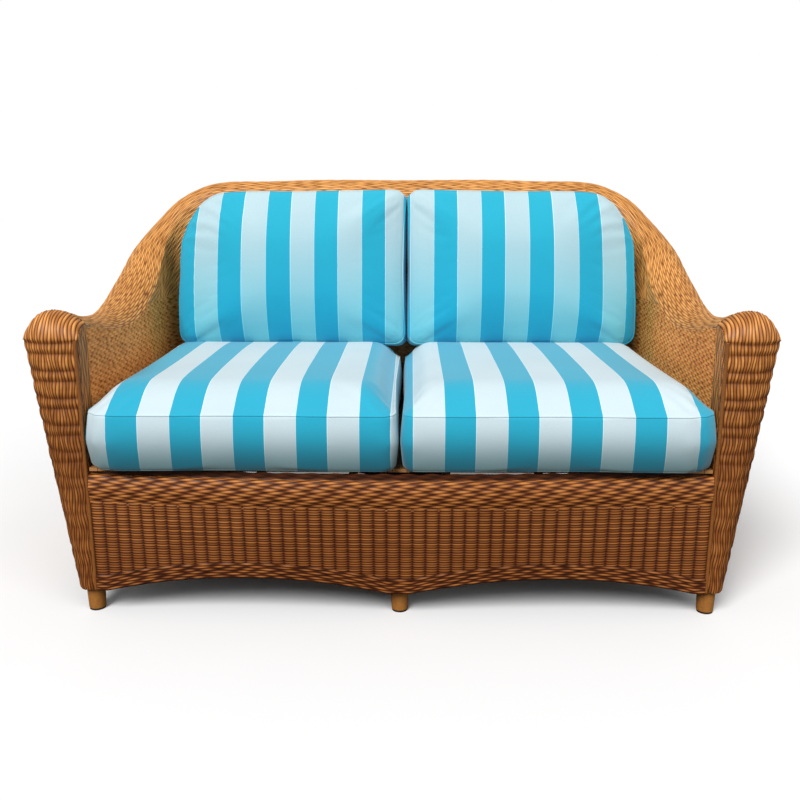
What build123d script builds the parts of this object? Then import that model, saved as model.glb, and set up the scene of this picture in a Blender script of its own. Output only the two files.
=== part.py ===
import os
from math import atan, atan2, cos, radians, sin, sqrt, tan

from build123d import *

os.makedirs("parts", exist_ok=True)

# A two-seat rattan sofa. X runs to the right, Y to the rear, Z up, in millimetres.
# The origin is on the floor, under the middle of the whole sofa.

# Overall sizes: across the rolled arms, front of the cushions to the rear of the rail, floor to crest.
sofa_width = 1500.0
sofa_depth = 900.0
sofa_height = 906.0

# How far the seat cushions stand out in front of the plane that the feet line up with.
cushion_overhang = 41.0
front_y = cushion_overhang - sofa_depth / 2

# Seat frame heights.
rail_bottom = 262.0
rail_height = 36.0
seat_depth = 655.0
running_gap = 0.3
overrun = 20.0

# The rolled arms: the crest's height at the front, how far the crest and the roll stand outside
# the upright inner face, and how far the inner face's upper edge lies under the crest.
arm_height = 638.0
arm_crest_out = 62.0
arm_roll_radius = 53.0
arm_edge_drop = 28.0
arm_foot_out = 45.0
cap_depth = 55.0

# The back: how far the inner face leans to the rear up to its upper edge, and the crest, roll and
# bottom edge behind it.
back_lean_out = 104.0
back_crest_out = 56.0
back_roll_radius = 46.0
back_edge_drop = 44.0
back_foot_out = 85.0

# Corner radii in plan of the inner foot line, the inner upper edge, the crest, the outermost
# line of the roll and the lower edge of the outer skin.
inner_radius = 55.0
edge_radius = 95.0
crest_radius = 170.0
roll_radius = 200.0
foot_radius = 130.0

# Legs: how far the front ones stand behind the front plane and outside the arms' inner faces, and
# the rear ones behind the back's inner foot and inside the arms' inner faces.
front_leg_depth = 32.0
front_leg_out = 15.0
rear_leg_behind = 25.0
rear_leg_in = 15.0

# The woven skin, its lower edge above the floor and the height of its arches.
skin = 8.0
skirt_clear = 55.0
arch_rise = 35.0
foot_land = 24.0

# The arm's front panel: rib height, rib relief, how far the face stands back at its inner and
# outer edges and the thin wrapped strip on its inner edge.
rib_height = 28.0
rib_relief = 3.0
face_inner_back = 8.0
face_outer_back = 24.0
strip_radius = 4.0
face_shares = (0.0, 0.25, 0.5, 0.75, 1.0)

# The front skirt: how far its top bows forward, its stakes and its upper and lower bands.
skirt_bow = 44.0
skirt_top = 307.0
band_height = 60.0
band_thick = 14.0
stake_pitch = 26.5
stake_relief = 3.0
border_height = 35.0
border_thick = 10.0
border_proud = 2.0
band_shares = (-1.0, -0.66, -0.33, 0.0, 0.33, 0.66, 1.0)

# A rib or a stake in profile: shares of its width, each with the share of its relief there.
rib_shares = ((0.0, 0.0), (0.28, 0.9), (0.72, 0.9), (1.0, 0.0))

# Seat rails, the cross rods on them and the woven deck over the rods.
side_rail_in = 27.0
side_rail_width = 62.0
side_rail_front = 18.0
front_rail_rear = 48.0
rear_rail_width = 70.0
rear_rail_margin = 5.0
centre_rail_width = 40.0
rod_radius = 9.0
rod_pairs = 3
rod_pitch_share = 0.3125
deck_thick = 7.0
deck_front = 4.0
deck_margin = 3.0
rod_front = 19.0

# Legs: the turned post, the cane-wrapped foot sleeve and the glide under it.
leg_radius = 15.0
sleeve_top_radius = 19.5
sleeve_low_radius = 17.5
sleeve_flats = 24
glide_height = 4.0
glide_radius = 16.5

# The bent top pole and the posts that carry it.
hoop_radius = 12.0
hoop_drop = 42.0
hoop_in = 8.0
hoop_start = 60.0
hoop_place_shares = (0.0, 0.09, 0.18, 0.27, 0.41, 0.55, 0.68, 0.82, 0.91, 1.0)
post_radius = 10.0
post_foot_out = 21.0
front_post_depth = 80.0
rear_post_ahead = 110.0
post_head_gap = 5.5
upright_behind = 33.0
upright_half_shares = (0.23, 0.66)

# Seat cushions: clearance between them, height to the upper seam, crown over it, corners.
cushion_gap = 2.0
seat_cushion_back = 4.0
seat_seam_height = 112.0
seat_crown = 42.0
seat_under_crown = 6.0
seat_corner = 26.0
seat_outer_corner = 64.0

# Back cushions: width, height up the slope, boxing, crowns and corners.
back_cushion_side = 47.0
back_cushion_height = 404.0
back_boxing = 104.0
back_crown = 44.0
back_under_crown = 12.0
back_corner = 26.0
back_top_corner = 88.0
back_shift = 10.0
back_cushion_sink = 36.3
back_cushion_clear = 0.3

# Cover cloth, the room inside it, and how far seams and the middles of the sides are drawn in.
cover_thick = 3.0
core_room = 1.2
seam_draw = 6.0
side_draw = 5.0

# The sweeping corner: how far in front of the back's inner foot it begins, and how far inside the
# arm's inner face it ends.
corner_deep = 115.0
corner_wide = 135.0

# How many sections the wall has along an arm, through a corner and along half the back, and how
# many flats stand for each rounded quarter of its outside and of its hollow.
arm_steps = 6
corner_steps = 14
back_steps = 2
roll_flats = 4
hollow_flats = roll_flats - 1

# The crest's course: places along the straight arm as shares of the way to the corner, turns
# through the corner as shares of a right angle, places along half the back as shares of its
# width from the corner to the middle, each with the rise from arm height to full height.
arm_place_shares = (0.0, 0.22, 0.44, 0.62, 0.80, 1.0)
arm_rise_shares = (0.0, -0.10, -0.148, -0.128, -0.03, 0.15)
corner_turn_shares = (0.2, 0.4, 0.55, 0.7, 0.85, 1.0)
corner_rise_shares = (0.29, 0.43, 0.56, 0.74, 0.88, 0.955)
back_place_shares = (0.25, 0.55, 1.0)
back_rise_shares = (0.985, 1.0, 0.995)

inner_half = sofa_width / 2 - arm_crest_out - arm_roll_radius
seat_base = rail_bottom + rail_height + running_gap
skirt_half = inner_half - running_gap
leg_room = front_leg_depth - leg_radius - running_gap
corner_start = seat_depth - corner_deep
corner_half = inner_half - corner_wide
rear_leg_depth = seat_depth + rear_leg_behind
front_leg_half = inner_half + front_leg_out
rear_leg_half = inner_half - rear_leg_in
side_rail_inner = inner_half - side_rail_in


# Lines in plan with rounded corners: half width, depth behind the front plane, corner radius.
inner_line = (inner_half, seat_depth, inner_radius)
edge_line = (inner_half, seat_depth + back_lean_out, edge_radius)
crest_line = (inner_half + arm_crest_out, seat_depth + back_lean_out + back_crest_out, crest_radius)
roll_line = (crest_line[0] + arm_roll_radius, crest_line[1] + back_roll_radius, roll_radius)
foot_line = (inner_half + arm_foot_out, seat_depth + back_foot_out, foot_radius)


def reach(place, way, line):
    """Distance from a place inside a plan line to the line, going the given way (both left half)."""
    half, rear, radius = line
    px, py = place
    wx, wy = way
    if wx < 0:
        side = (half + px) / -wx
        if py + side * wy <= rear - radius:
            return side
    if wy > 0:
        back = (rear - py) / wy
        if px + back * wx >= radius - half:
            return back
    cx = px + half - radius
    cy = py - rear + radius
    along = cx * wx + cy * wy
    return -along + sqrt(along**2 - cx**2 - cy**2 + radius**2)


def station(place, way, rise_share, turn_share):
    """One upright section through the wall: its plane and its heights and reaches."""
    inner = reach(place, way, inner_line)
    edge = reach(place, way, edge_line)
    crest = reach(place, way, crest_line)
    roll = reach(place, way, roll_line)
    foot = reach(place, way, foot_line)
    top = arm_height + (sofa_height - arm_height) * rise_share
    drop = arm_edge_drop + (back_edge_drop - arm_edge_drop) * turn_share
    return (place, way, inner, edge, crest, roll, foot, top, drop)


arm_run = corner_start - cap_depth
corner_run = radians(90) * roll_radius
back_run = corner_half

# The crest's rises along its whole run, from the arm's front to the middle of the back.
rise_runs = [arm_run * share for share in arm_place_shares]
rise_runs += [arm_run + corner_run * share for share in corner_turn_shares]
rise_runs += [arm_run + corner_run + back_run * share for share in back_place_shares]
rises = arm_rise_shares + corner_rise_shares + back_rise_shares


def rise_at(run):
    """The crest's rise at a place along its run, on a smooth curve through the given rises."""
    last = len(rises) - 1
    index = min(sum(run > item for item in rise_runs[1:]), last - 1)
    step = rise_runs[index + 1] - rise_runs[index]
    t = (run - rise_runs[index]) / step
    slopes = []
    for middle in (index, index + 1):
        before, after = max(middle - 1, 0), min(middle + 1, last)
        slopes.append(step * (rises[after] - rises[before]) / (rise_runs[after] - rise_runs[before]))
    straight = rises[index] * (1 - t) ** 2 * (1 + 2 * t) + rises[index + 1] * t**2 * (3 - 2 * t)
    return straight + slopes[0] * t * (1 - t) ** 2 - slopes[1] * t**2 * (1 - t)


def stations():
    """The sections of the left half, from the arm's front round the corner to the middle."""
    found = []
    for step in range(arm_steps + 1):
        run = arm_run * step / arm_steps
        found.append(station((-corner_half, cap_depth + run), (-1.0, 0.0), rise_at(run), 0.0))
    for step in range(1, corner_steps + 1):
        share = step / corner_steps
        turn = radians(90 * share)
        rise = rise_at(arm_run + corner_run * share)
        found.append(station((-corner_half, corner_start), (-cos(turn), sin(turn)), rise, share))
    for step in range(1, back_steps + 1):
        share = step / back_steps
        rise = rise_at(arm_run + corner_run + back_run * share)
        place = (-corner_half * (1 - share), corner_start)
        found.append(station(place, (0.0, 1.0), rise, 1.0))
    return found


left_stations = stations()


def mirrored(item):
    """The same section on the right half of the sofa."""
    place, way = item[0], item[1]
    return ((-place[0], place[1]), (-way[0], way[1])) + item[2:]


all_stations = left_stations + [mirrored(item) for item in left_stations[-2::-1]]


def section_plane(item):
    """The upright plane of a section, its X outward and its Y up."""
    place, way = item[0], item[1]
    origin = (place[0], front_y + place[1], 0)
    return Plane(origin=origin, x_dir=(way[0], way[1], 0), z_dir=(way[1], -way[0], 0))


def wall_corners(item, inset):
    """Corner points of the wall's outline, drawn in by an inset, with the arcs' starts."""
    inner, edge, crest, roll, foot, top, drop = item[2:]
    across = crest - edge
    arc = (across**2 + drop**2) / (2 * drop)
    edge_up = top - arc + sqrt((arc - inset) ** 2 - (across - inset) ** 2)
    roll_up = top - (roll - crest)
    return (
        (inner + inset, seat_base),
        (edge + inset, edge_up),
        (crest, top - inset),
        (roll - inset, roll_up),
        (foot - inset, skirt_clear),
    )


def arc_points(high, low, flats):
    """Points from an arc's level high end down to its low end, for a row of flats."""
    across = low[0] - high[0]
    drop = high[1] - low[1]
    arc = (across**2 + drop**2) / (2 * drop)
    whole_turn = atan2(abs(across), arc - drop)
    side = 1 if across > 0 else -1
    points = []
    for step in range(flats + 1):
        turn = whole_turn * step / flats
        points.append((high[0] + side * arc * sin(turn), high[1] - arc + arc * cos(turn)))
    return points


def roll_points(corners, flats):
    """The roll from its inner edge over the crest to its outermost line."""
    edge, crest, roll = corners[1:4]
    return arc_points(crest, edge, flats)[::-1] + arc_points(crest, roll, flats)[1:]


def wall_outline(item):
    """The woven wall's closed outline: inner face, roll, outer face, and the hollow in it."""
    out = wall_corners(item, 0)
    within = wall_corners(item, skin)
    outside = [out[0]] + roll_points(out, roll_flats) + [out[4]]
    inside = [within[0]] + roll_points(within, hollow_flats) + [within[4]]
    Polyline(*outside, *reversed(inside), close=True)


with BuildPart() as wall:
    for item in all_stations:
        with BuildSketch(section_plane(item)):
            with BuildLine():
                wall_outline(item)
            make_face()
    loft(ruled=True)


def arch_outline(start, end, base, rise):
    """A flat arch from one land to the next, closed well below its ends."""
    ThreePointArc((start, base), ((start + end) / 2, base + rise), (end, base))
    Polyline((end, base), (end, base - overrun), (start, base - overrun), (start, base))


# The arches under the sides and under the back, cut through the outer skin.
with BuildPart() as side_arch:
    with BuildSketch(Plane.YZ.offset(-sofa_width / 2 - overrun)):
        with BuildLine():
            arch_outline(
                front_y + front_leg_depth + foot_land,
                front_y + rear_leg_depth - foot_land,
                skirt_clear,
                arch_rise,
            )
        make_face()
    extrude(amount=sofa_width + 2 * overrun)

with BuildPart() as rear_arches:
    with BuildSketch(Plane.XZ.offset(-front_y - seat_depth)):
        with BuildLine():
            arch_outline(foot_land, rear_leg_half - foot_land, skirt_clear, arch_rise)
        make_face()
        mirror(about=Plane.YZ)
    extrude(amount=-sofa_depth / 2)

wing_cut = Plane.YZ.offset(-corner_half)

with BuildPart() as left_arm_weave:
    add(wall.part)
    split(bisect_by=wing_cut, keep=Keep.BOTTOM)
    add(side_arch.part, mode=Mode.SUBTRACT)
    add(rear_arches.part, mode=Mode.SUBTRACT)

left_arm_weave.part.label = "left_arm_weave"
export_step(left_arm_weave.part, "parts/left_arm_weave.step")

with BuildPart() as right_arm_weave:
    add(mirror(left_arm_weave.part, about=Plane.YZ, mode=Mode.PRIVATE))

right_arm_weave.part.label = "right_arm_weave"
export_step(right_arm_weave.part, "parts/right_arm_weave.step")

with BuildPart() as back_weave:
    add(wall.part)
    split(bisect_by=wing_cut, keep=Keep.TOP)
    split(bisect_by=Plane.YZ.offset(corner_half), keep=Keep.BOTTOM)
    add(rear_arches.part, mode=Mode.SUBTRACT)

back_weave.part.label = "back_weave"
export_step(back_weave.part, "parts/back_weave.step")


def front_bow(height):
    """How far the skirt stands forward at its middle, at a height: nothing at the floor."""
    return skirt_bow * height / skirt_top


def bow_at(across, height):
    """How far the skirt stands forward at a place across it, at a height."""
    return front_bow(height) * (1 - (across / skirt_half) ** 2)


# The arm's front panel: ribbed upright profiles set out across the arm, rounded over onto its top.
front_item = left_stations[0]
face_low = front_item[6] - front_item[2]
face_high = front_item[5] - front_item[2]
face_rise = arm_height - skirt_clear
rib_count = round((face_rise - cap_depth) / rib_height)
rib_step = (face_rise - cap_depth) / rib_count


def face_plane(share):
    """An upright plane along the arm, leaning with its outer side: X to the rear, Y up."""
    lean = share * (face_high - face_low) / face_rise
    stretch = sqrt(1 + lean**2)
    origin = (-inner_half - share * face_low, front_y, skirt_clear)
    return Plane(origin=origin, x_dir=(0, 1, 0), z_dir=(1 / stretch, 0, lean / stretch))


def face_back(share):
    """How far the front face stands back at a share of its width."""
    side = face_inner_back if share < 0.5 else face_outer_back
    return side * (2 * share - 1) ** 2


def ribbed_profile(share):
    """Ribs one above another, a quarter round over the top, and the straight rear."""
    lean = share * (face_high - face_low) / face_rise
    stretch = sqrt(1 + lean**2)
    back = face_back(share)
    shoulder = rib_count * rib_step * stretch
    top = face_rise * stretch
    nose = cap_depth - back - rib_relief
    points = [(cap_depth, 0), (back + rib_relief, 0)]
    for index in range(rib_count):
        for rise_share, relief_share in rib_shares[1:]:
            height = (index + rise_share) * rib_step * stretch
            points.append((back + rib_relief * (1 - relief_share), height))
    for step in range(1, roll_flats + 1):
        turn = radians(90) * step / roll_flats
        rise = shoulder + (top - shoulder) * sin(turn)
        points.append((cap_depth - nose * cos(turn), rise))
    Polyline(*points, close=True)


def plain_profile(share):
    """The same profile without ribs, drawn in by the skin, for the hollow behind the face."""
    lean = share * (face_high - face_low) / face_rise
    stretch = sqrt(1 + lean**2)
    front = face_back(share) + rib_relief + skin
    shoulder = rib_count * rib_step * stretch
    top = face_rise * stretch - skin
    Line((front, -overrun), (front, shoulder))
    Line((front, shoulder), (cap_depth, top))
    Line((cap_depth, top), (cap_depth + overrun, top))
    Line((cap_depth + overrun, top), (cap_depth + overrun, -overrun))
    Line((cap_depth + overrun, -overrun), (front, -overrun))


def cap_outline(inset):
    """The arm's outline seen from the front, down to the skirt's lower edge on both sides."""
    corners = wall_corners(front_item, inset)
    low = skirt_clear - (overrun if inset else 0)
    flats = hollow_flats if inset else roll_flats
    points = roll_points(corners, flats)
    Polyline((corners[0][0], low), *points, (corners[4][0], low), close=True)


with BuildPart() as cap_hollow:
    for share in face_shares:
        with BuildSketch(face_plane(share)):
            with BuildLine():
                plain_profile(share)
            make_face()
    loft(ruled=True)
    with BuildSketch(section_plane(front_item)):
        with BuildLine():
            cap_outline(skin)
        make_face()
    extrude(amount=cap_depth + overrun, both=True, mode=Mode.INTERSECT)

# The strip of wrapped cane on the inner front edge of the arm, and the rebate that it lies in.
strip_place = (-inner_half - strip_radius, front_y + strip_radius)
rebate = 2 * strip_radius + running_gap
with BuildPart() as left_edge_strip:
    with BuildSketch(Plane.XY.offset(skirt_clear)):
        with Locations(strip_place):
            Circle(strip_radius)
    extrude(amount=face_rise - cap_depth)

left_edge_strip.part.label = "left_edge_strip"
export_step(left_edge_strip.part, "parts/left_edge_strip.step")

with BuildPart() as left_arm_front:
    for share in face_shares:
        with BuildSketch(face_plane(share)):
            with BuildLine():
                ribbed_profile(share)
            make_face()
    loft(ruled=True)
    with BuildSketch(section_plane(front_item)):
        with BuildLine():
            cap_outline(0)
        make_face()
    extrude(amount=-cap_depth - overrun, mode=Mode.INTERSECT)
    add(cap_hollow.part, mode=Mode.SUBTRACT)
    with BuildSketch(Plane.XY):
        with Locations((-inner_half, front_y)):
            Rectangle(2 * rebate, 2 * rebate)
    extrude(amount=arm_height - cap_depth + running_gap, mode=Mode.SUBTRACT)
    with BuildSketch(Plane.XY):
        with BuildLine():
            Polyline(
                (-inner_half + overrun, front_y + leg_room),
                (-inner_half - skin - running_gap, front_y + leg_room),
                (-inner_half - skin - running_gap, front_y + cap_depth + overrun),
                (-inner_half + overrun, front_y + cap_depth + overrun),
                close=True,
            )
        make_face()
    extrude(amount=seat_base, mode=Mode.SUBTRACT)

left_arm_front.part.label = "left_arm_front"
export_step(left_arm_front.part, "parts/left_arm_front.step")

with BuildPart() as right_arm_front:
    mirror(left_arm_front.part, about=Plane.YZ)

right_arm_front.part.label = "right_arm_front"
export_step(right_arm_front.part, "parts/right_arm_front.step")

with BuildPart() as right_edge_strip:
    mirror(left_edge_strip.part, about=Plane.YZ)

right_edge_strip.part.label = "right_edge_strip"
export_step(right_edge_strip.part, "parts/right_edge_strip.step")


# The front skirt, bowed forward towards its top: stakes side by side over a shallow arch.
stake_count = round(2 * skirt_half / stake_pitch)
stake_step = 2 * skirt_half / stake_count


def skirt_face(across, height, proud):
    """A place on the skirt's face in plan, standing proud of the stakes' hollows."""
    return (across, front_y + stake_relief - bow_at(across, height) - proud)


def staked_outline(height):
    """The skirt's plan at a height: a row of stakes in front and a plain arc behind."""
    points = [skirt_face(-skirt_half, height, 0)]
    for index in range(stake_count):
        for place_share, relief_share in rib_shares[1:]:
            across = (index + place_share) * stake_step - skirt_half
            points.append(skirt_face(across, height, stake_relief * relief_share))
    Polyline(*points)
    Line(skirt_face(skirt_half, height, 0), skirt_face(skirt_half, height, -skin))
    ThreePointArc(
        skirt_face(skirt_half, height, -skin),
        skirt_face(0, height, -skin),
        skirt_face(-skirt_half, height, -skin),
    )
    Line(skirt_face(-skirt_half, height, -skin), skirt_face(-skirt_half, height, 0))


def plain_skirt_outline(height):
    """The lower border's plan at a height, a little proud of the stakes."""
    ends = (skirt_half, height)
    front = stake_relief + border_proud
    behind = front - border_thick
    ThreePointArc(
        skirt_face(-skirt_half, height, front),
        skirt_face(0, height, front),
        skirt_face(skirt_half, height, front),
    )
    Line(skirt_face(*ends, front), skirt_face(*ends, behind))
    ThreePointArc(
        skirt_face(*ends, behind),
        skirt_face(0, height, behind),
        skirt_face(-skirt_half, height, behind),
    )
    Line(skirt_face(-skirt_half, height, behind), skirt_face(-skirt_half, height, front))


def skirt_arches(base):
    """Both arches of the skirt in one flat region, seen from the front."""
    with BuildSketch(Plane.XZ) as arches:
        for side in (-1, 1):
            with BuildLine():
                arch_outline(side * foot_land, side * (skirt_half - foot_land), base, arch_rise)
            make_face()
    return arches.sketch


band_low = skirt_top - band_height
border_top = skirt_clear + border_height

with BuildPart() as front_skirt_panel:
    for height in (border_top, band_low):
        with BuildSketch(Plane.XY.offset(height)):
            with BuildLine():
                staked_outline(height)
            make_face()
    loft(ruled=True)
    extrude(skirt_arches(border_top), amount=sofa_depth, mode=Mode.SUBTRACT)

front_skirt_panel.part.label = "front_skirt_panel"
export_step(front_skirt_panel.part, "parts/front_skirt_panel.step")

with BuildPart() as front_skirt_border:
    for height in (skirt_clear, border_top + arch_rise):
        with BuildSketch(Plane.XY.offset(height)):
            with BuildLine():
                plain_skirt_outline(height)
            make_face()
    loft(ruled=True)
    extrude(skirt_arches(skirt_clear), amount=sofa_depth, mode=Mode.SUBTRACT)
    with BuildSketch(Plane.XZ):
        with Locations((0, border_top + arch_rise)):
            Rectangle(sofa_width, 2 * arch_rise)
        add(skirt_arches(border_top), mode=Mode.SUBTRACT)
    extrude(amount=sofa_depth, mode=Mode.SUBTRACT)

front_skirt_border.part.label = "front_skirt_border"
export_step(front_skirt_border.part, "parts/front_skirt_border.step")

# The rounded upper band that closes the skirt.
with BuildPart() as front_skirt_band:
    for share in band_shares:
        across = share * skirt_half
        with BuildSketch(Plane.YZ.offset(across)):
            with BuildLine():
                low_face = front_y + stake_relief - bow_at(across, band_low)
                high_face = front_y + stake_relief - bow_at(across, skirt_top)
                ThreePointArc(
                    (low_face, band_low),
                    ((low_face + high_face) / 2 - stake_relief, band_low + band_height / 2),
                    (high_face, skirt_top),
                )
                Polyline(
                    (high_face, skirt_top),
                    (high_face + band_thick, skirt_top),
                    (low_face + band_thick, band_low),
                    (low_face, band_low),
                )
            make_face()
    loft(ruled=True)

front_skirt_band.part.label = "front_skirt_band"
export_step(front_skirt_band.part, "parts/front_skirt_band.step")


def band_rear(across, height):
    """The band's rear face in plan at a height, straight from one of its sections to the next."""
    for near, far in zip(band_shares, band_shares[1:]):
        if near * skirt_half <= across <= far * skirt_half:
            share = (across / skirt_half - near) / (far - near)
            bow = bow_at(near * skirt_half, height) * (1 - share)
            bow += bow_at(far * skirt_half, height) * share
            return (across, front_y + stake_relief + band_thick + running_gap - bow)
    return (across, front_y)


# The seat frame: two side rails, a bowed front rail, a rear rail and a centre rail.
rail_top = rail_bottom + rail_height
rear_rail_rear = rear_leg_depth + leg_radius + rear_rail_margin
rear_rail_front = rear_rail_rear - rear_rail_width
side_rail_half = side_rail_inner - running_gap

with BuildPart() as left_side_rail:
    with BuildSketch(Plane.XY.offset(rail_bottom)):
        with BuildLine():
            Polyline(
                (-side_rail_inner, front_y + side_rail_front),
                (-side_rail_inner - side_rail_width, front_y + side_rail_front),
                (-side_rail_inner - side_rail_width, front_y + seat_depth - inner_radius),
                (-side_rail_inner - skin, front_y + rear_rail_rear),
                (-side_rail_inner, front_y + rear_rail_rear),
                close=True,
            )
        make_face()
    extrude(amount=rail_height)

left_side_rail.part.label = "left_side_rail"
export_step(left_side_rail.part, "parts/left_side_rail.step")

with BuildPart() as right_side_rail:
    mirror(left_side_rail.part, about=Plane.YZ)

right_side_rail.part.label = "right_side_rail"
export_step(right_side_rail.part, "parts/right_side_rail.step")

with BuildPart() as front_seat_rail:
    with BuildSketch(Plane.XY.offset(rail_bottom)):
        with BuildLine():
            places = [-side_rail_half]
            places += [share * skirt_half for share in band_shares[1:-1]]
            places += [side_rail_half]
            Polyline(
                *[band_rear(across, rail_bottom) for across in places],
                (side_rail_half, front_y + front_rail_rear),
                (-side_rail_half, front_y + front_rail_rear),
                close=True,
            )
        make_face()
    extrude(amount=rail_height)

front_seat_rail.part.label = "front_seat_rail"
export_step(front_seat_rail.part, "parts/front_seat_rail.step")

with BuildPart() as rear_seat_rail:
    with BuildSketch(Plane.XY.offset(rail_bottom)):
        with Locations((0, front_y + (rear_rail_front + rear_rail_rear) / 2)):
            Rectangle(2 * side_rail_half, rear_rail_width)
    extrude(amount=rail_height)

rear_seat_rail.part.label = "rear_seat_rail"
export_step(rear_seat_rail.part, "parts/rear_seat_rail.step")

centre_rail_run = rear_rail_front - front_rail_rear - 2 * running_gap
with BuildPart() as centre_seat_rail:
    with BuildSketch(Plane.XY.offset(rail_bottom)):
        with Locations((0, front_y + (front_rail_rear + rear_rail_front) / 2)):
            Rectangle(centre_rail_width, centre_rail_run)
    extrude(amount=rail_height)

centre_seat_rail.part.label = "centre_seat_rail"
export_step(centre_seat_rail.part, "parts/centre_seat_rail.step")

# Rods from the front rail to the rear rail, and the woven deck laid over them.
rod_rear = seat_depth - running_gap
rod_run = rod_rear - rod_front
rod_pitch = rod_pitch_share * side_rail_inner
with BuildPart() as seat_rods:
    with BuildSketch(Plane.XZ.offset(-front_y - rod_front)):
        for index in range(rod_pairs):
            for side in (-1, 1):
                with Locations((side * (index + 0.5) * rod_pitch, rail_top + rod_radius)):
                    Circle(rod_radius)
    extrude(amount=-rod_run)

seat_rods.part.label = "seat_rods"
export_step(seat_rods.part, "parts/seat_rods.step")

deck_low = rail_top + 2 * rod_radius
deck_top = deck_low + deck_thick
deck_half = inner_half - deck_margin
deck_rear = seat_depth - deck_margin
with BuildPart() as seat_deck_weave:
    with BuildSketch(Plane.XY.offset(deck_low)):
        with BuildLine():
            Polyline(
                (-deck_half, front_y + deck_front),
                (-deck_half, front_y + deck_rear - inner_radius),
                (-deck_half + inner_radius, front_y + deck_rear),
                (deck_half - inner_radius, front_y + deck_rear),
                (deck_half, front_y + deck_rear - inner_radius),
                (deck_half, front_y + deck_front),
                close=True,
            )
        make_face()
    extrude(amount=deck_thick)

seat_deck_weave.part.label = "seat_deck_weave"
export_step(seat_deck_weave.part, "parts/seat_deck_weave.step")


# Six turned leg posts under the rails, the cane-wrapped sleeves round their feet and the glides.
leg_places = {
    "front_left": (-front_leg_half, front_leg_depth),
    "front_centre": (0, front_leg_depth),
    "front_right": (front_leg_half, front_leg_depth),
    "rear_left": (-rear_leg_half, rear_leg_depth),
    "rear_centre": (0, rear_leg_depth),
    "rear_right": (rear_leg_half, rear_leg_depth),
}
sleeve_top = skirt_clear - running_gap

for name, (across, depth) in leg_places.items():
    with BuildPart() as leg:
        with BuildSketch(Plane.XY.offset(glide_height)):
            with Locations((across, front_y + depth)):
                Circle(leg_radius)
        extrude(amount=rail_bottom - glide_height)
    leg.part.label = name + "_leg"
    export_step(leg.part, "parts/" + leg.part.label + ".step")

with BuildPart() as foot_wraps:
    for across, depth in leg_places.values():
        for height, radius in ((glide_height, sleeve_low_radius), (sleeve_top, sleeve_top_radius)):
            with BuildSketch(Plane.XY.offset(height)):
                with Locations((across, front_y + depth)):
                    RegularPolygon(radius, sleeve_flats)
        loft(ruled=True)
    with BuildSketch(Plane.XY):
        for across, depth in leg_places.values():
            with Locations((across, front_y + depth)):
                Circle(leg_radius)
    extrude(amount=rail_bottom, mode=Mode.SUBTRACT)

foot_wraps.part.label = "foot_wraps"
export_step(foot_wraps.part, "parts/foot_wraps.step")

with BuildPart() as foot_glides:
    with BuildSketch(Plane.XY):
        for across, depth in leg_places.values():
            with Locations((across, front_y + depth)):
                Circle(glide_radius)
    extrude(amount=glide_height)

foot_glides.part.label = "foot_glides"
export_step(foot_glides.part, "parts/foot_glides.step")


# The bent pole under the crest, from one arm's front round the back to the other.
def hoop_point(item):
    """The pole's middle in one section of the wall."""
    place, way = item[0], item[1]
    out = item[4] - hoop_in
    return (
        place[0] + way[0] * out,
        front_y + place[1] + way[1] * out,
        item[7] - hoop_drop,
    )


last_station = len(left_stations) - 1
left_hoop = [hoop_point(left_stations[round(share * last_station)]) for share in hoop_place_shares]
left_hoop[0] = (left_hoop[0][0], front_y + hoop_start, left_hoop[0][2])
hoop_points = left_hoop + [(-x, y, z) for x, y, z in left_hoop[-2::-1]]

with BuildPart() as top_hoop_pole:
    with BuildLine() as hoop_path:
        Polyline(*hoop_points)
    with BuildSketch(Plane(origin=hoop_path.line @ 0, z_dir=hoop_path.line % 0)):
        Circle(hoop_radius)
    sweep(transition=Transition.RIGHT)

top_hoop_pole.part.label = "top_hoop_pole"
export_step(top_hoop_pole.part, "parts/top_hoop_pole.step")


def hoop_at(place, way):
    """The pole's height at a place along X (way 0) or Y (way 1)."""
    for near, far in zip(left_hoop, left_hoop[1:]):
        if near[way] <= place <= far[way]:
            share = (place - near[way]) / (far[way] - near[way])
            return near[2] + share * (far[2] - near[2])
    return left_hoop[-1][2]


def leaning_post(foot, head, radius):
    """A round post with level ends, leaning from its foot to its head."""
    with BuildPart() as post:
        for x, y, z in (foot, head):
            with BuildSketch(Plane.XY.offset(z)):
                with Locations((x, y)):
                    Circle(radius)
        loft(ruled=True)
    return post.part


with BuildPart() as left_arm_posts:
    for depth in (front_post_depth, corner_start - rear_post_ahead):
        post_foot = (-inner_half - post_foot_out, front_y + depth, rail_top)
        post_head = hoop_at(front_y + depth, 1) - hoop_radius - post_head_gap
        add(leaning_post(post_foot, (left_hoop[0][0], front_y + depth, post_head), post_radius))

left_arm_posts.part.label = "left_arm_posts"
export_step(left_arm_posts.part, "parts/left_arm_posts.step")

with BuildPart() as right_arm_posts:
    mirror(left_arm_posts.part, about=Plane.YZ)

right_arm_posts.part.label = "right_arm_posts"
export_step(right_arm_posts.part, "parts/right_arm_posts.step")

with BuildPart() as back_uprights:
    for share in upright_half_shares:
        across = share * corner_half
        for side in (-1, 1):
            post_foot = (side * across, front_y + seat_depth + upright_behind, rail_top)
            head_height = hoop_at(-across, 0) - hoop_radius - 2 * running_gap
            post_head = (side * across, left_hoop[-1][1], head_height)
            add(leaning_post(post_foot, post_head, post_radius))

back_uprights.part.label = "back_uprights"
export_step(back_uprights.part, "parts/back_uprights.step")


# Cushions. Each is an underside, a boxing between two drawn-in seams and a crowned face.
under_shares = ((0.0, 0.24), (1.0, 0.0))
crown_shares = ((0.0, 0.0), (0.4, 0.07), (0.8, 0.26), (1.0, 0.62))
corner_flats = 3


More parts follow.
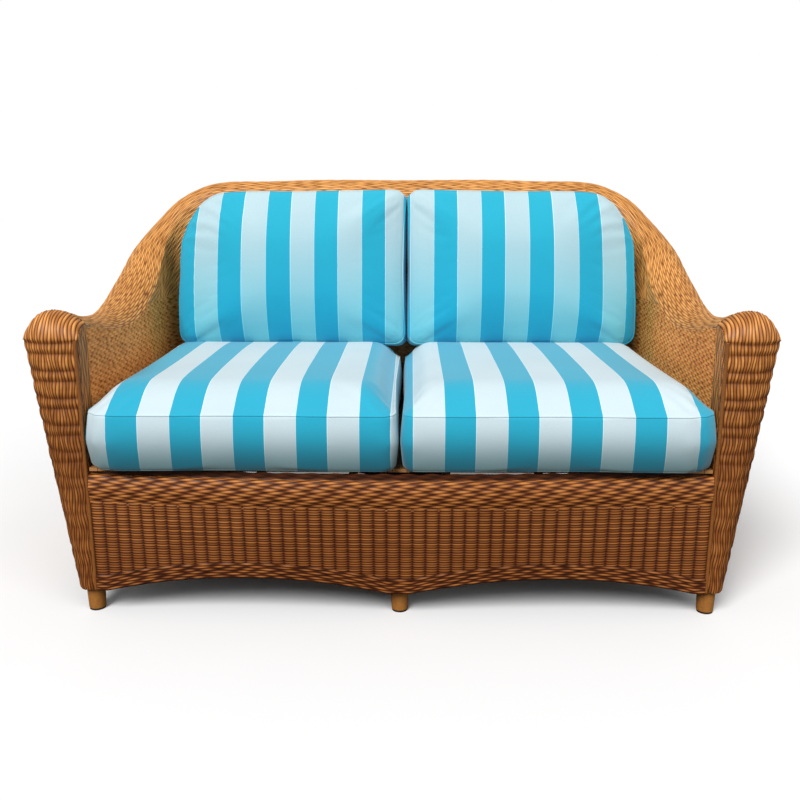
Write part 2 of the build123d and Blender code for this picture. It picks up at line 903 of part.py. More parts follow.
def cushion_outline(width, length, corners, scale):
    """A cushion's plan, with bowed-in sides and its own four corners, at a scale."""
    half = width / 2 * scale
    tall = length / 2 * scale
    draw = side_draw * scale
    ways = ((-1, -1), (1, -1), (1, 1), (-1, 1))
    bows = ((0, -tall + draw), (half - draw, 0), (0, tall - draw), (-half + draw, 0))
    points = []
    for (across, along), corner, bow in zip(ways, corners, bows):
        round_off = corner * scale
        for step in range(corner_flats + 1):
            turn = radians(90) * step / corner_flats
            angle = turn if across == along else radians(90) - turn
            points.append((
                across * (half - round_off * (1 - cos(angle))),
                along * (tall - round_off * (1 - sin(angle))),
            ))
        points.append(bow)
    Polyline(*points, close=True)


def flat_faced(body):
    """The same body with each of its flat lofted faces made a true plane."""
    return Solid(Shell([Face(face.outer_wire()) for face in body.faces()]))


def cushion_body(base, width, length, heights, corners, inside):
    """One closed cushion over a base plane, all its faces drawn in by the same amount."""
    under, boxing, crown = heights
    spread = min(width, length) / 2
    top = under + boxing
    rings = []
    for rise_share, inset_share in under_shares:
        rings.append((inside + (under - inside) * rise_share, seam_draw + inset_share * spread))
    rings.append((under + boxing / 2, 0))
    for rise_share, inset_share in crown_shares:
        rings.append((top + (crown - inside) * rise_share, seam_draw + inset_share * spread))
    with BuildPart() as body:
        for rise, inset in rings:
            with BuildSketch(base.offset(rise)):
                with BuildLine():
                    cushion_outline(width, length, corners, 1 - (inset + inside) / spread)
                make_face()
        loft(ruled=True)
    return flat_faced(body.part)


seat_cushion_width = (2 * inner_half - 3 * cushion_gap) / 2
seat_cushion_rear = seat_depth - seat_cushion_back
seat_cushion_length = seat_cushion_rear + cushion_overhang
seat_heights = (seat_under_crown, seat_seam_height, seat_crown)
seat_cushion_middle = front_y + (seat_cushion_rear - cushion_overhang) / 2
seat_middle = (seat_cushion_width + cushion_gap) / 2


def seat_cushion(side, inside):
    """A seat cushion on the deck, to one side of the middle."""
    corners = [seat_corner] * 4
    corners[0 if side < 0 else 1] = seat_outer_corner
    corners[3 if side < 0 else 2] = seat_outer_corner
    base = Plane(origin=(side * seat_middle, seat_cushion_middle, deck_top + running_gap))
    sizes = (seat_cushion_width, seat_cushion_length)
    return cushion_body(base, *sizes, seat_heights, corners, inside)


back_lean = atan(back_lean_out / (sofa_height - back_edge_drop - seat_base))
back_heights = (back_under_crown, back_boxing, back_crown)
back_cushion_width = inner_half - back_cushion_side
back_middle = (back_cushion_width + cushion_gap) / 2
seat_crest = deck_top + running_gap + seat_under_crown + seat_seam_height + seat_crown
back_cushion_base = seat_crest - back_cushion_sink


def back_cushion(side, inside):
    """A back cushion leaning on the back, its width centred a little to the right."""
    corners = [back_corner] * 4
    corners[3 if side < 0 else 2] = back_top_corner
    wall_back = seat_depth + (back_cushion_base - seat_base) * tan(back_lean)
    up = (0, sin(back_lean), cos(back_lean))
    out = (0, -cos(back_lean), sin(back_lean))
    half = back_cushion_height / 2
    clear = back_cushion_clear
    origin = (
        side * back_middle + back_shift,
        front_y + wall_back + half * up[1] + clear * out[1],
        back_cushion_base + half * up[2] + clear * out[2],
    )
    base = Plane(origin=origin, x_dir=(1, 0, 0), z_dir=out)
    sizes = (back_cushion_width, back_cushion_height)
    return cushion_body(base, *sizes, back_heights, corners, inside)


for name, side, form in (
    ("left_seat", -1, seat_cushion),
    ("right_seat", 1, seat_cushion),
    ("left_back", -1, back_cushion),
    ("right_back", 1, back_cushion),
):
    with BuildPart() as cover:
        add(form(side, 0))
        add(form(side, cover_thick), mode=Mode.SUBTRACT)
    cover.part.label = name + "_cover"
    export_step(cover.part, "parts/" + cover.part.label + ".step")

    with BuildPart() as core:
        add(form(side, cover_thick + core_room))
    core.part.label = name + "_foam"
    export_step(core.part, "parts/" + core.part.label + ".step")
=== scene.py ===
from math import atan, cos, pi, radians, sin, sqrt

import bpy
import numpy as np
from bpy.props import FloatProperty, FloatVectorProperty, IntProperty, PointerProperty
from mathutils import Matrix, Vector


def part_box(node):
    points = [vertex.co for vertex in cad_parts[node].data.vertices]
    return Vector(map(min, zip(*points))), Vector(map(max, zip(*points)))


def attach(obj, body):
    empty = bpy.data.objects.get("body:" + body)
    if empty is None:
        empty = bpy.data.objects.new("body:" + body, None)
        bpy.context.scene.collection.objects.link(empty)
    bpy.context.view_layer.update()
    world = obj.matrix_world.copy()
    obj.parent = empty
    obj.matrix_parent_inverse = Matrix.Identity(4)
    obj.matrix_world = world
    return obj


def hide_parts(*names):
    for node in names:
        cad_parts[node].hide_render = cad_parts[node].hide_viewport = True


bl_info = {
    "name": "Rattan Sofa",
    "version": (1, 0, 0),
    "blender": (4, 5, 0),
    "location": "View3D > Sidebar > Rattan Sofa",
    "description": "Dresses a two-seat rattan sofa with its weave, cushions and a studio",
    "category": "Object",
}

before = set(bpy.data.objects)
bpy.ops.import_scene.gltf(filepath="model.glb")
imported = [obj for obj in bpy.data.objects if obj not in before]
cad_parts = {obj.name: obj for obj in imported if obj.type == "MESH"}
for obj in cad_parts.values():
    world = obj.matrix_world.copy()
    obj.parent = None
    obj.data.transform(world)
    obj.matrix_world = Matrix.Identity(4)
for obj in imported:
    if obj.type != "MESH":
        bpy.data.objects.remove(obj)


def linear(code):
    """A hex sRGB colour as linear red, green and blue."""
    parts = [int(code[place : place + 2], 16) / 255 for place in (1, 3, 5)]
    return [part / 12.92 if part <= 0.04045 else ((part + 0.055) / 1.055) ** 2.4 for part in parts]


def length(name, text, default):
    """A length property in metres."""
    return FloatProperty(name=name, description=text, default=default, min=0.0, unit="LENGTH")


def offset(name, text, default):
    """A place across the sofa in metres, of either sign."""
    return FloatProperty(name=name, description=text, default=default, unit="LENGTH")


def amount(name, text, default):
    """A plain number."""
    return FloatProperty(name=name, description=text, default=default)


def angle(name, text, degrees):
    """An angle, given in degrees."""
    return FloatProperty(name=name, description=text, default=radians(degrees), subtype="ANGLE")


def direction(name, degrees):
    """A direction as turns about X, Y and Z, given in degrees."""
    default = tuple(radians(part) for part in degrees)
    return FloatVectorProperty(name=name, description=name, default=default, subtype="EULER")


def colour(name, text, code):
    """A colour property, given as hex sRGB."""
    return FloatVectorProperty(
        name=name, description=text, default=linear(code), size=3, subtype="COLOR", min=0.0, max=1.0
    )


class WallForm(bpy.types.PropertyGroup):
    """The form of the woven walls, in the same lengths as the frame."""

    inner_half: length("Inner Half", "Half the width between the arms", 0.635)
    seat_depth: length("Seat Depth", "From the front plane to the back's foot", 0.655)
    front_back: length("Front Plane", "From the middle of the sofa forward to the front plane", 0.409)
    seat_base: length("Seat Base", "Height where the inner faces start", 0.2983)
    skirt_clear: length("Skirt Clearance", "Height of the lower edges over the floor", 0.055)
    arch_rise: length("Arch Rise", "Height of the arches in the lower edges", 0.035)
    foot_land: length("Foot Land", "Flat edge left beside each foot", 0.024)
    arm_height: length("Arm Height", "Height of the arm's crest at its front", 0.638)
    back_height: length("Back Height", "Height of the back's crest", 0.906)
    arm_crest_out: length("Arm Crest", "How far the arm's crest stands outside its inner face", 0.062)
    arm_roll: length("Arm Roll", "Radius of the arm's outer roll", 0.053)
    arm_edge_drop: length("Arm Edge Drop", "How far the arm's inner edge lies under its crest", 0.028)
    arm_foot_out: length("Arm Foot", "How far the arm's lower edge stands outside its inner face", 0.045)
    back_lean_out: length("Back Lean", "How far the back's inner face leans to the rear", 0.104)
    back_crest_out: length("Back Crest", "How far the back's crest stands behind its inner edge", 0.056)
    back_roll: length("Back Roll", "Radius of the back's outer roll", 0.046)
    back_edge_drop: length("Back Edge Drop", "How far the back's inner edge lies under its crest", 0.044)
    back_foot_out: length("Back Foot", "How far the back's lower edge stands behind its inner foot", 0.085)
    cap_depth: length("Cap Depth", "Depth of the arm's front panel", 0.055)
    corner_start: length("Corner Start", "Depth where the corner begins", 0.54)
    corner_half: length("Corner Half", "Half width where the corner ends", 0.5)
    fold_height: length("Fold Height", "Height of the fold under the roll and the wings", 0.6)
    turn_height: length("Turn Height", "Height where the outer rows turn level", 0.52)
    front_leg_depth: length("Front Leg Depth", "From the front plane to the front legs", 0.032)
    rear_leg_depth: length("Rear Leg Depth", "From the front plane to the rear legs", 0.68)
    rear_leg_half: length("Rear Leg Half", "Half the width between the rear legs", 0.62)


class SkirtForm(bpy.types.PropertyGroup):
    """The front skirt and the arm's front panel."""

    bow: length("Bow", "How far the skirt's top stands forward at its middle", 0.044)
    top: length("Top", "Height of the skirt's upper edge", 0.307)
    band_height: length("Band Height", "Height of the rounded upper band", 0.06)
    band_thick: length("Band Thickness", "Depth of the upper band's top", 0.014)
    border_height: length("Border Height", "Height of the lower border", 0.035)
    border_thick: length("Border Thickness", "Depth of the lower border", 0.01)
    border_proud: length("Border Proud", "How far the lower border stands out", 0.002)
    stake_pitch: length("Stake Pitch", "Distance between the skirt's upright stakes", 0.0265)
    stake_relief: length("Stake Relief", "How far a stake stands out", 0.003)
    rib_height: length("Rib Height", "Height of one rib on the arm's front", 0.028)
    rib_relief: length("Rib Relief", "How far a rib stands out", 0.0026)
    rib_wave: amount("Rib Wave", "How far the ribs waver", 0.45)
    inner_back: length("Inner Set Back", "How far the arm's front lies back at its inner edge", 0.008)
    outer_back: length("Outer Set Back", "How far the arm's front lies back at its outer edge", 0.024)
    strip_radius: length("Strip Radius", "Radius of the wrapped strip on the arm's edge", 0.004)
    end_gap: length("End Gap", "Gap between the skirt's ends and the arms", 0.0003)
    band_swell: length("Band Swell", "How far the upper band swells forward", 0.006)
    deck_rise: length("Deck Rise", "How far the weave rises from the upper band to the deck", 0.0138)


class WeaveForm(bpy.types.PropertyGroup):
    """Strands and stakes of the weave."""

    strand: length("Strand", "Height of one woven row", 0.0056)
    relief: length("Relief", "How far a strand's crown stands out", 0.0011)
    dip: length("Dip", "How far a strand sways over and under the stakes", 0.0007)
    panel_dash: length("Panel Dash", "Distance between the stakes of the inner panels", 0.015)
    wing_dash: length("Wing Dash", "Distance between the stakes of the rolls and wings", 0.024)
    front_dash: length("Front Dash", "Distance between the stakes of the arms' fronts", 0.034)
    outer_dash: length("Outer Dash", "Distance between the stakes of the outer faces", 0.022)
    front_strand: length("Front Strand", "Width of one upright strand on the arm's front", 0.0063)
    cane: length("Cane", "Height of one turn of cane", 0.003)
    cane_relief: length("Cane Relief", "How far a turn of cane stands out", 0.0005)
    band_dash: length("Band Dash", "Distance between the stakes of the skirt's upper band", 0.024)
    band_dip: length("Band Dip", "How far the strands of the skirt's upper band sway", 0.0011)
    uneven: amount("Unevenness", "How far stakes wander, in dashes", 0.45)
    samples: IntProperty(name="Samples", description="Mesh rows in one strand", default=3, min=2)


class FootForm(bpy.types.PropertyGroup):
    """The wrapped feet."""

    front_half: length("Front Half", "Half the width between the front feet", 0.65)
    leg_radius: length("Leg Radius", "Radius of the turned leg", 0.015)
    top_radius: length("Top Radius", "Radius of a wrapped foot at its top", 0.0195)
    low_radius: length("Low Radius", "Radius of a wrapped foot at its bottom", 0.0175)
    glide_height: length("Glide Height", "Height of the glide under a foot", 0.004)


class CushionForm(bpy.types.PropertyGroup):
    """Cushions and their cloth."""

    voxel: length("Voxel", "Mesh size of the cloth", 0.007)
    pressure: amount("Pressure", "How tightly the cushions are filled", 3.8)
    stiffness: amount("Stiffness", "How little the cover stretches", 8)
    frames: IntProperty(name="Frames", description="Frames of settling", default=14, min=1)
    stripe: length("Stripe", "Width of one stripe of the seat cushions", 0.0622)
    back_stripe: length("Back Stripe", "Width of one stripe of the back cushions", 0.0597)
    stripe_line: length("Stripe Line", "Width of the pale thread line on a stripe's edge", 0.0014)
    seam_radius: length("Seam Radius", "Radius of the sewn edge", 0.0016)
    back_seam_radius: length("Back Seam Radius", "Radius of a back cushion's sewn edge", 0.0026)
    most_shift: length("Most Shift", "The furthest that the filling presses the cover out", 0.03)
    side_swell: length("Side Swell", "How far a back cushion's outer side swells", 0.02)
    middle_swell: length("Middle Swell", "How far a back cushion's inner side swells", 0.005)
    corner_round: length("Corner Round", "How far a back cushion's outer top corner drops", 0.09)
    top_slope: length("Top Slope", "How far a back cushion's top falls to its outer side", 0.014)
    top_rise: length("Top Rise", "How far a back cushion's top is filled up", 0.018)
    bottom_rise: length("Bottom Rise", "How far a back cushion's bottom is pressed up", 0.012)
    crown_rise: length("Crown Rise", "How far a seat cushion's crown stands over its cover's form", 0.0135)
    corner_fill: length("Corner Fill", "How far a seat cushion's front outer corner is filled out", 0.01)
    seat_under: length("Seat Underside", "Height of the lower seam over a seat cushion's lowest point", 0.006)
    seat_boxing: length("Seat Boxing", "Height between a seat cushion's seams", 0.112)
    back_under: length("Back Rear", "From the back's weave to a back cushion's rear seam", 0.0123)
    back_boxing: length("Back Boxing", "Depth between a back cushion's seams", 0.104)
    right_stripe: length("Right Stripe", "Width of one stripe of the right seat cushion", 0.0618)
    left_seat_stripe: offset("Left Seat Stripe", "A blue stripe on the left seat cushion", -0.048)
    right_seat_stripe: offset("Right Seat Stripe", "A blue stripe on the right seat cushion", 0.120)
    left_back_stripe: offset("Left Back Stripe", "A blue stripe on the left back cushion", -0.198)
    right_back_stripe: offset("Right Back Stripe", "A blue stripe on the right back cushion", 0.2334)
    side: length("Side", "Width of the blue at a cushion's side", 0.012)


class StageForm(bpy.types.PropertyGroup):
    """The studio: floor, light and camera."""

    floor_size: length("Floor Size", "Width of the floor", 60.0)
    key_strength: amount("Key", "Strength of the key light", 3.1)
    key_spread: angle("Key Spread", "How softly the key light falls", 28)
    key_turn: direction("Key Direction", (41, -26, 0))
    fill_strength: amount("Fill", "Strength of the front light", 0.7)
    fill_spread: angle("Fill Spread", "How softly the front light falls", 36)
    fill_turn: direction("Fill Direction", (54, 0, 42))
    sky_strength: amount("Sky", "Strength of the even light", 0.38)
    lens: amount("Lens", "Focal length in millimetres", 38.46)
    camera_place: FloatVectorProperty(
        name="Camera Place",
        description="Place of the camera",
        default=(0.0233, -2.0582, 0.8566),
        unit="LENGTH",
    )
    camera_turn: direction("Camera Direction", (76.7316, 0, 0.7788))


class SofaColours(bpy.types.PropertyGroup):
    """Colours of the sofa and its studio."""

    # Crowns, flanks and gaps: painted highlight on the crowns of the strands, painted shade in the gaps.
    rattan_light: colour("Rattan Light", "Crowns of the strands", "#F4B670")
    rattan_mid: colour("Rattan Mid", "Flanks of the strands", "#D8954C")
    rattan_dark: colour("Rattan Dark", "Gaps between the strands", "#6B3B1A")
    # The arms' fronts take a darker copy of the rattan's colours, as painted shade.
    shaded_front_crown: colour("Front Light", "Crowns of the strands on the arms' fronts", "#F0AA60")
    shaded_front_flank: colour("Front Mid", "Flanks of the strands on the arms' fronts", "#A4622A")
    # The skirt takes a darker copy of the rattan's colours, as painted shade.
    shaded_skirt_crown: colour("Skirt Light", "Crowns of the skirt's strands", "#D08846")
    shaded_skirt_flank: colour("Skirt Mid", "Flanks of the skirt's strands", "#6C3818")
    shaded_skirt_gap: colour("Skirt Dark", "Gaps in the skirt", "#221007")
    # The inner panels take a lighter copy of the rattan's colours, as painted light.
    lit_panel_crown: colour("Panel Light", "Crowns of the inner panels' strands", "#FFC07A")
    lit_panel_flank: colour("Panel Mid", "Flanks of the inner panels' strands", "#FB9A4C")
    lit_panel_gap: colour("Panel Dark", "Gaps between the inner panels' strands", "#5E2C10")
    cane: colour("Cane", "Wrapped cane of the edge strips", "#8A5526")
    deck: colour("Deck", "Woven seat deck", "#B98550")
    foot: colour("Foot", "Wrapped cane of the feet", "#A87035")
    pole: colour("Pole", "Peeled rattan poles", "#B98A52")
    wood: colour("Wood", "Seat rails and legs", "#8C5E34")
    glide: colour("Glide", "Glides under the feet", "#2A211B")
    blue: colour("Blue", "Blue stripes of the seat", "#22A6C4")
    pale: colour("Pale", "Pale stripes of the seat", "#C6D8DE")
    back_blue: colour("Back Blue", "Blue stripes of the back cushions", "#20AAC6")
    back_pale: colour("Back Pale", "Pale stripes of the back cushions", "#B4CED5")
    thread: colour("Thread", "Thread lines on the stripes", "#DCECF0")
    floor: colour("Floor", "Studio floor", "#F1F1F1")


# The crest's course: shares of each run, and the rise from arm height to full height at each,
# tuned to the outline in the photograph.
ARM_PLACE_SHARES = (0.0, 0.22, 0.44, 0.62, 0.80, 1.0)
ARM_RISE_SHARES = (0.0, -0.10, -0.148, -0.14, -0.065, 0.08)
CORNER_TURN_SHARES = (0.2, 0.4, 0.55, 0.7, 0.85, 1.0)
CORNER_RISE_SHARES = (0.21, 0.40, 0.58, 0.79, 0.92, 0.975)
BACK_PLACE_SHARES = (0.25, 0.55, 1.0)
BACK_RISE_SHARES = (0.985, 1.0, 0.995)
# Corner radii in plan of the inner foot, inner edge, crest, roll and outer foot lines.
PLAN_RADII = (0.055, 0.095, 0.170, 0.200, 0.130)
# A corner's length along the rows of the inner panels, the inner rolls and the outer faces.
PANEL_CORNER, ROLL_CORNER, OUTER_CORNER = 0.24, 0.37, 0.46
# The even scatter: turn and shift of the sine, and how far its digits are spread.
SCATTER_TURN, SCATTER_SHIFT, SCATTER_SPREAD = 12.9898, 4.1, 43758.5453
# How slowly stakes and tones wander along a row, in dashes, and what keeps rows and tones apart.
STAKE_WANDER, TONE_WANDER, ROW_STEP, TONE_STEP = 2.6, 1.4, 57.0, 31.0
# Parts of a strand's painted shade and tone: even painted shade over its round, a painted highlight with the
# sway over the stakes, and its own slow change of tone.
SHADE_EVEN, HIGHLIGHT_SWAY, LIFT_TONE = 0.42, 0.36, 0.22
# Painted shade: tints that darken the rattan towards the floor, on the walls and arm fronts, and on the
# skirt.
FLOOR_SHADE_TINT = (0.5, 0.42, 0.36)
SKIRT_SHADE_TINT = (0.8, 0.74, 0.68)
# Where the arms' inner panels, painted lighter than the back, pass into the tone of the back, the tint and
# the axis.
PANEL_LIGHT_FADE = (0.14, 0.02, (0.74, 0.9, 0.95), "Y")
# Painted shade: tints that darken the cloth towards the bottom of a back cushion and of a seat cushion's
# front.
BACK_SHADE_TINT = (0.22, 0.75, 0.86)
SEAT_SHADE_TINT = (0.2, 0.3, 0.3)
# The arm's front: mesh rows in a rib and over the top, and the top's length along a strand.
RIB_ROWS, TOP_ROWS, TOP_RUN = 8, 20, 0.045
# How far its strands draw together towards the floor and sway, and over what lengths they sway.
FRONT_DRAW, FRONT_SWAY = 0.7, 0.0018
SWAY_RUN, SWAY_TURN, SWAY_ACROSS = 0.0125, 2.6, 0.019
# How its ribs waver, in rib heights across it and from rib to rib, and how sharp their grooves are.
RIB_RUN, RIB_STEP, RIB_SHARP = 1.7, 3.0, 0.8
# How soon its ribs end round the inner corner, between what heights they grow, and how faint
# they are below.
FRONT_TURN, FADE_LOW, FADE_HIGH, RIB_FAINT = 0.012, 0.26, 0.44, 0.35
# Mesh columns in one stake of the skirt, and how its band's strands sway from row to row.
STAKE_COLUMNS, BAND_SWAY, BAND_STEP = 6, 0.35, 2.1
# Mesh rows in one turn of cane, and columns round a foot and a strip.
CANE_ROWS, FOOT_COLUMNS, STRIP_COLUMNS = 3, 36, 10
# The deck's weave: length and height of one dash, and the gap between dashes.
DECK_DASH, DECK_STRAND, DECK_GAP = 0.03, 0.006, 0.0008
# Reaches over which a seat cushion's crown rises from its sides, front, rear and upper seam, the
# share of the missing height that it fills, and the reach of its front corners.
CROWN_SIDE, CROWN_FRONT, CROWN_REAR, CROWN_SEAM = 0.07, 0.13, 0.05, 0.02
CROWN_SHARE, CORNER_REACH = 0.75, 0.12
# The share of its light that the floor throws back on the sofa.
FLOOR_THROW = 0.08


def settings(context):
    """The sofa's settings on the scene."""
    scene = context.scene
    return scene.sofa_wall, scene.sofa_skirt, scene.sofa_weave, scene.sofa_colours


def plan_lines(wall):
    """Half width, depth and corner radius of the wall's five lines in plan."""
    crest_half = wall.inner_half + wall.arm_crest_out
    crest_depth = wall.seat_depth + wall.back_lean_out + wall.back_crest_out
    sizes = (
        (wall.inner_half, wall.seat_depth),
        (wall.inner_half, wall.seat_depth + wall.back_lean_out),
        (crest_half, crest_depth),
        (crest_half + wall.arm_roll, crest_depth + wall.back_roll),
        (wall.inner_half + wall.arm_foot_out, wall.seat_depth + wall.back_foot_out),
    )
    return [(half, depth, radius) for (half, depth), radius in zip(sizes, PLAN_RADII)]


def reach(place, way, line):
    """Distance from a place inside a plan line to the line, going the given way."""
    half, rear, radius = line
    px, py = place
    wx, wy = way
    if wx < 0:
        side = (half + px) / -wx
        if py + side * wy <= rear - radius:
            return side
    if wy > 0:
        back = (rear - py) / wy
        if px + back * wx >= radius - half:
            return back
    cx = px + half - radius
    cy = py - rear + radius
    along = cx * wx + cy * wy
    return -along + sqrt(along**2 - cx**2 - cy**2 + radius**2)


def rise_curve(wall):
    """Runs and rises of the crest from the arm's front to the middle of the back."""
    arm_run = wall.corner_start - wall.cap_depth
    corner_run = radians(90) * PLAN_RADII[3]
    runs = [arm_run * share for share in ARM_PLACE_SHARES]
    runs += [arm_run + corner_run * share for share in CORNER_TURN_SHARES]
    runs += [arm_run + corner_run + wall.corner_half * share for share in BACK_PLACE_SHARES]
    return runs, ARM_RISE_SHARES + CORNER_RISE_SHARES + BACK_RISE_SHARES


def rise_at(run, curve):
    """The crest's rise at a place along its run, on a smooth curve through the given rises."""
    runs, rises = curve
    last = len(rises) - 1
    index = min(sum(run > item for item in runs[1:]), last - 1)
    step = runs[index + 1] - runs[index]
    t = (run - runs[index]) / step
    slopes = []
    for middle in (index, index + 1):
        before, after = max(middle - 1, 0), min(middle + 1, last)
        slopes.append(step * (rises[after] - rises[before]) / (runs[after] - runs[before]))
    straight = rises[index] * (1 - t) ** 2 * (1 + 2 * t) + rises[index + 1] * t**2 * (3 - 2 * t)
    return straight + slopes[0] * t * (1 - t) ** 2 - slopes[1] * t**2 * (1 - t)


def course(wall, part, corner_length, spacing):
    """Upright sections of one wall part, close together, as a dict of arrays.

    The corner's length along the rows sets how its sections are spaced and counted.
    """
    lines = plan_lines(wall)
    curve = rise_curve(wall)
    arm_run = wall.corner_start - wall.cap_depth
    corner_run = radians(90) * PLAN_RADII[3]
    rows = []
    if part == "back":
        count = round(2 * wall.corner_half / spacing)
        for step in range(count + 1):
            across = wall.corner_half * (2 * step / count - 1)
            rise = rise_at(arm_run + corner_run + wall.corner_half - abs(across), curve)
            along = arm_run + corner_length + wall.corner_half + across
            rows.append(((-abs(across), wall.corner_start), (0.0, 1.0), rise, 1.0, along, across > 0))
    else:
        count = round(arm_run / spacing)
        for step in range(count):
            run = arm_run * step / count
            place = (-wall.corner_half, wall.cap_depth + run)
            rows.append((place, (-1.0, 0.0), rise_at(run, curve), 0.0, run, False))
        count = round(corner_length / spacing)
        for step in range(count + 1):
            share = step / count
            turn = radians(90) * share
            rise = rise_at(arm_run + corner_run * share, curve)
            place = (-wall.corner_half, wall.corner_start)
            way = (-cos(turn), sin(turn))
            rows.append((place, way, rise, share, arm_run + corner_length * share, False))
    found = {key: [] for key in ("place", "way", "reach", "top", "drop", "along")}
    for place, way, rise, share, along, flipped in rows:
        found["reach"].append([reach(place, way, line) for line in lines])
        found["top"].append(wall.arm_height + (wall.back_height - wall.arm_height) * rise)
        found["drop"].append(wall.arm_edge_drop + (wall.back_edge_drop - wall.arm_edge_drop) * share)
        found["place"].append((-place[0] if flipped else place[0], place[1]))
        found["way"].append(way)
        found["along"].append(along)
    found = {key: np.array(value, float) for key, value in found.items()}
    if part == "right":
        found["place"][:, 0] *= -1
        found["way"][:, 0] *= -1
    return found


def strand_profile(rows):
    """Roundness of the strands, nothing in the gaps and one on the crowns."""
    part = rows - np.floor(rows)
    return np.sqrt(np.clip(1 - (2 * part - 1) ** 2, 0, 1))


def scatter(number):
    """An even scatter from nothing to one, the same for the same number."""
    value = np.sin(number * SCATTER_TURN + SCATTER_SHIFT) * SCATTER_SPREAD
    return value - np.floor(value)


def wander(along, row, reach_along):
    """A slow unevenness along each row, from minus one to one."""
    place = along / reach_along
    first = np.floor(place)
    part = place - first
    part = part * part * (3 - 2 * part)
    near = scatter(first + ROW_STEP * row)
    far = scatter(first + 1 + ROW_STEP * row)
    return 2 * (near + (far - near) * part) - 1


def woven(rows, along, dash, weave):
    """Height of the weave and its painted shade, highlight and tone, from row numbers and the way along each
    row.
    """
    row = np.floor(rows)
    crown = strand_profile(rows)
    shift = row + weave.uneven * wander(along, row, STAKE_WANDER * dash)
    sway = np.cos(pi * (along / dash + shift))
    pale = 0.5 + 0.5 * wander(along, row + TONE_STEP, TONE_WANDER * dash)
    height = crown * (weave.relief + weave.dip * sway)
    shade_and_tone = crown * (SHADE_EVEN + HIGHLIGHT_SWAY * sway + LIFT_TONE * pale)
    return height, shade_and_tone


def sheet(name, points, rows, along, shade_and_tone, material, flip=False, keep=None):
    """A mesh over a grid of points, with the faces that are to be kept, or with all of them."""
    high, wide = points.shape[:2]
    index = np.arange(high * wide).reshape(high, wide)
    quads = np.stack((index[:-1, :-1], index[:-1, 1:], index[1:, 1:], index[1:, :-1]), axis=-1)
    quads = quads.reshape(-1, 4) if keep is None else quads[keep]
    if flip:
        quads = quads[:, ::-1]
    used, packed = np.unique(quads, return_inverse=True)
    packed = packed.reshape(-1)
    mesh = bpy.data.meshes.new(name)
    mesh.vertices.add(len(used))
    mesh.vertices.foreach_set("co", points.reshape(-1, 3)[used].astype(np.float32).ravel())
    mesh.loops.add(len(packed))
    mesh.loops.foreach_set("vertex_index", packed.astype(np.int32))
    mesh.polygons.add(len(quads))
    mesh.polygons.foreach_set("loop_start", np.arange(0, len(packed), 4, dtype=np.int32))
    mesh.update(calc_edges=True)
    # The first attribute carries the strands' painted shade and highlight, with their tone.
    for title, values in (("shade_and_tone", shade_and_tone), ("strand", np.floor(rows + 1e-6)), ("along", along)):
        flat = np.broadcast_to(values, (high, wide)).reshape(-1)[used].astype(np.float32)
        mesh.attributes.new(title, "FLOAT", "POINT").data.foreach_set("value", flat)
    mesh.polygons.foreach_set("use_smooth", np.ones(len(quads), dtype=bool))
    mesh.materials.append(material)
    mesh.validate()
    piece = bpy.data.objects.new(name, mesh)
    bpy.context.scene.collection.objects.link(piece)
    return piece


def lay(sections, out, height, wall):
    """Points in space from distances outward in each section and heights."""
    x = sections["place"][:, :1] + sections["way"][:, :1] * out
    y = sections["place"][:, 1:] + sections["way"][:, 1:] * out - wall.front_back
    return np.stack((x, y, np.broadcast_to(height, out.shape)), axis=-1)


def inner_profile(sections, fall, wall):
    """Inner face: out, height and outward normal at distances down from the crest."""
    crest = sections["reach"][:, 2:3]
    edge = sections["reach"][:, 1:2]
    foot = sections["reach"][:, 0:1]
    top = sections["top"][:, None]
    drop = sections["drop"][:, None]
    across = crest - edge
    arc = (across**2 + drop**2) / (2 * drop)
    whole = np.arctan2(across, arc - drop)
    turn = np.minimum(fall / arc, whole)
    beyond = np.maximum(fall - arc * whole, 0)
    down = np.hypot(foot - edge, wall.seat_base - (top - drop))
    way_out = (foot - edge) / down
    way_up = (wall.seat_base - (top - drop)) / down
    out = crest - arc * np.sin(turn) + beyond * way_out
    height = top - arc + arc * np.cos(turn) + beyond * way_up
    curved = fall < arc * whole
    normal_out = np.where(curved, -np.sin(turn), way_up)
    normal_up = np.where(curved, np.cos(turn), -way_out)
    return out, height, normal_out, normal_up


def outer_profile(sections, fall, wall):
    """Outer face: out, height and outward normal at distances down from the crest."""
    crest = sections["reach"][:, 2:3]
    roll = sections["reach"][:, 3:4]
    foot = sections["reach"][:, 4:5]
    top = sections["top"][:, None]
    arc = roll - crest
    turn = np.minimum(fall / arc, pi / 2)
    beyond = np.maximum(fall - arc * pi / 2, 0)
    down = np.hypot(foot - roll, wall.skirt_clear - (top - arc))
    way_out = (foot - roll) / down
    way_up = (wall.skirt_clear - (top - arc)) / down
    out = crest + arc * np.sin(turn) + beyond * way_out
    height = top - arc + arc * np.cos(turn) + beyond * way_up
    curved = turn < pi / 2
    normal_out = np.where(curved, np.sin(turn), -way_up)
    normal_up = np.where(curved, np.cos(turn), way_out)
    return out, height, normal_out, normal_up


def arc_height(place, start, end, rise):
    """Height of a flat arch over its chord, nothing outside it."""
    half = (end - start) / 2
    radius = (half**2 + rise**2) / (2 * rise)
    away = np.clip(np.abs(place - (start + end) / 2), 0, half)
    return np.sqrt(radius**2 - away**2) - (radius - rise)


def lower_edge(sections, wall):
    """Height of the outer face's lower edge in each section, with the arches."""
    foot = sections["reach"][:, 4]
    x = sections["place"][:, 0] + sections["way"][:, 0] * foot
    depth = sections["place"][:, 1] + sections["way"][:, 1] * foot
    side_end = wall.rear_leg_depth - wall.foot_land
    side = arc_height(depth, wall.front_leg_depth + wall.foot_land, side_end, wall.arch_rise)
    rear = arc_height(np.abs(x), wall.foot_land, wall.rear_leg_half - wall.foot_land, wall.arch_rise)
    return wall.skirt_clear + np.where(depth < wall.seat_depth, side, rear)


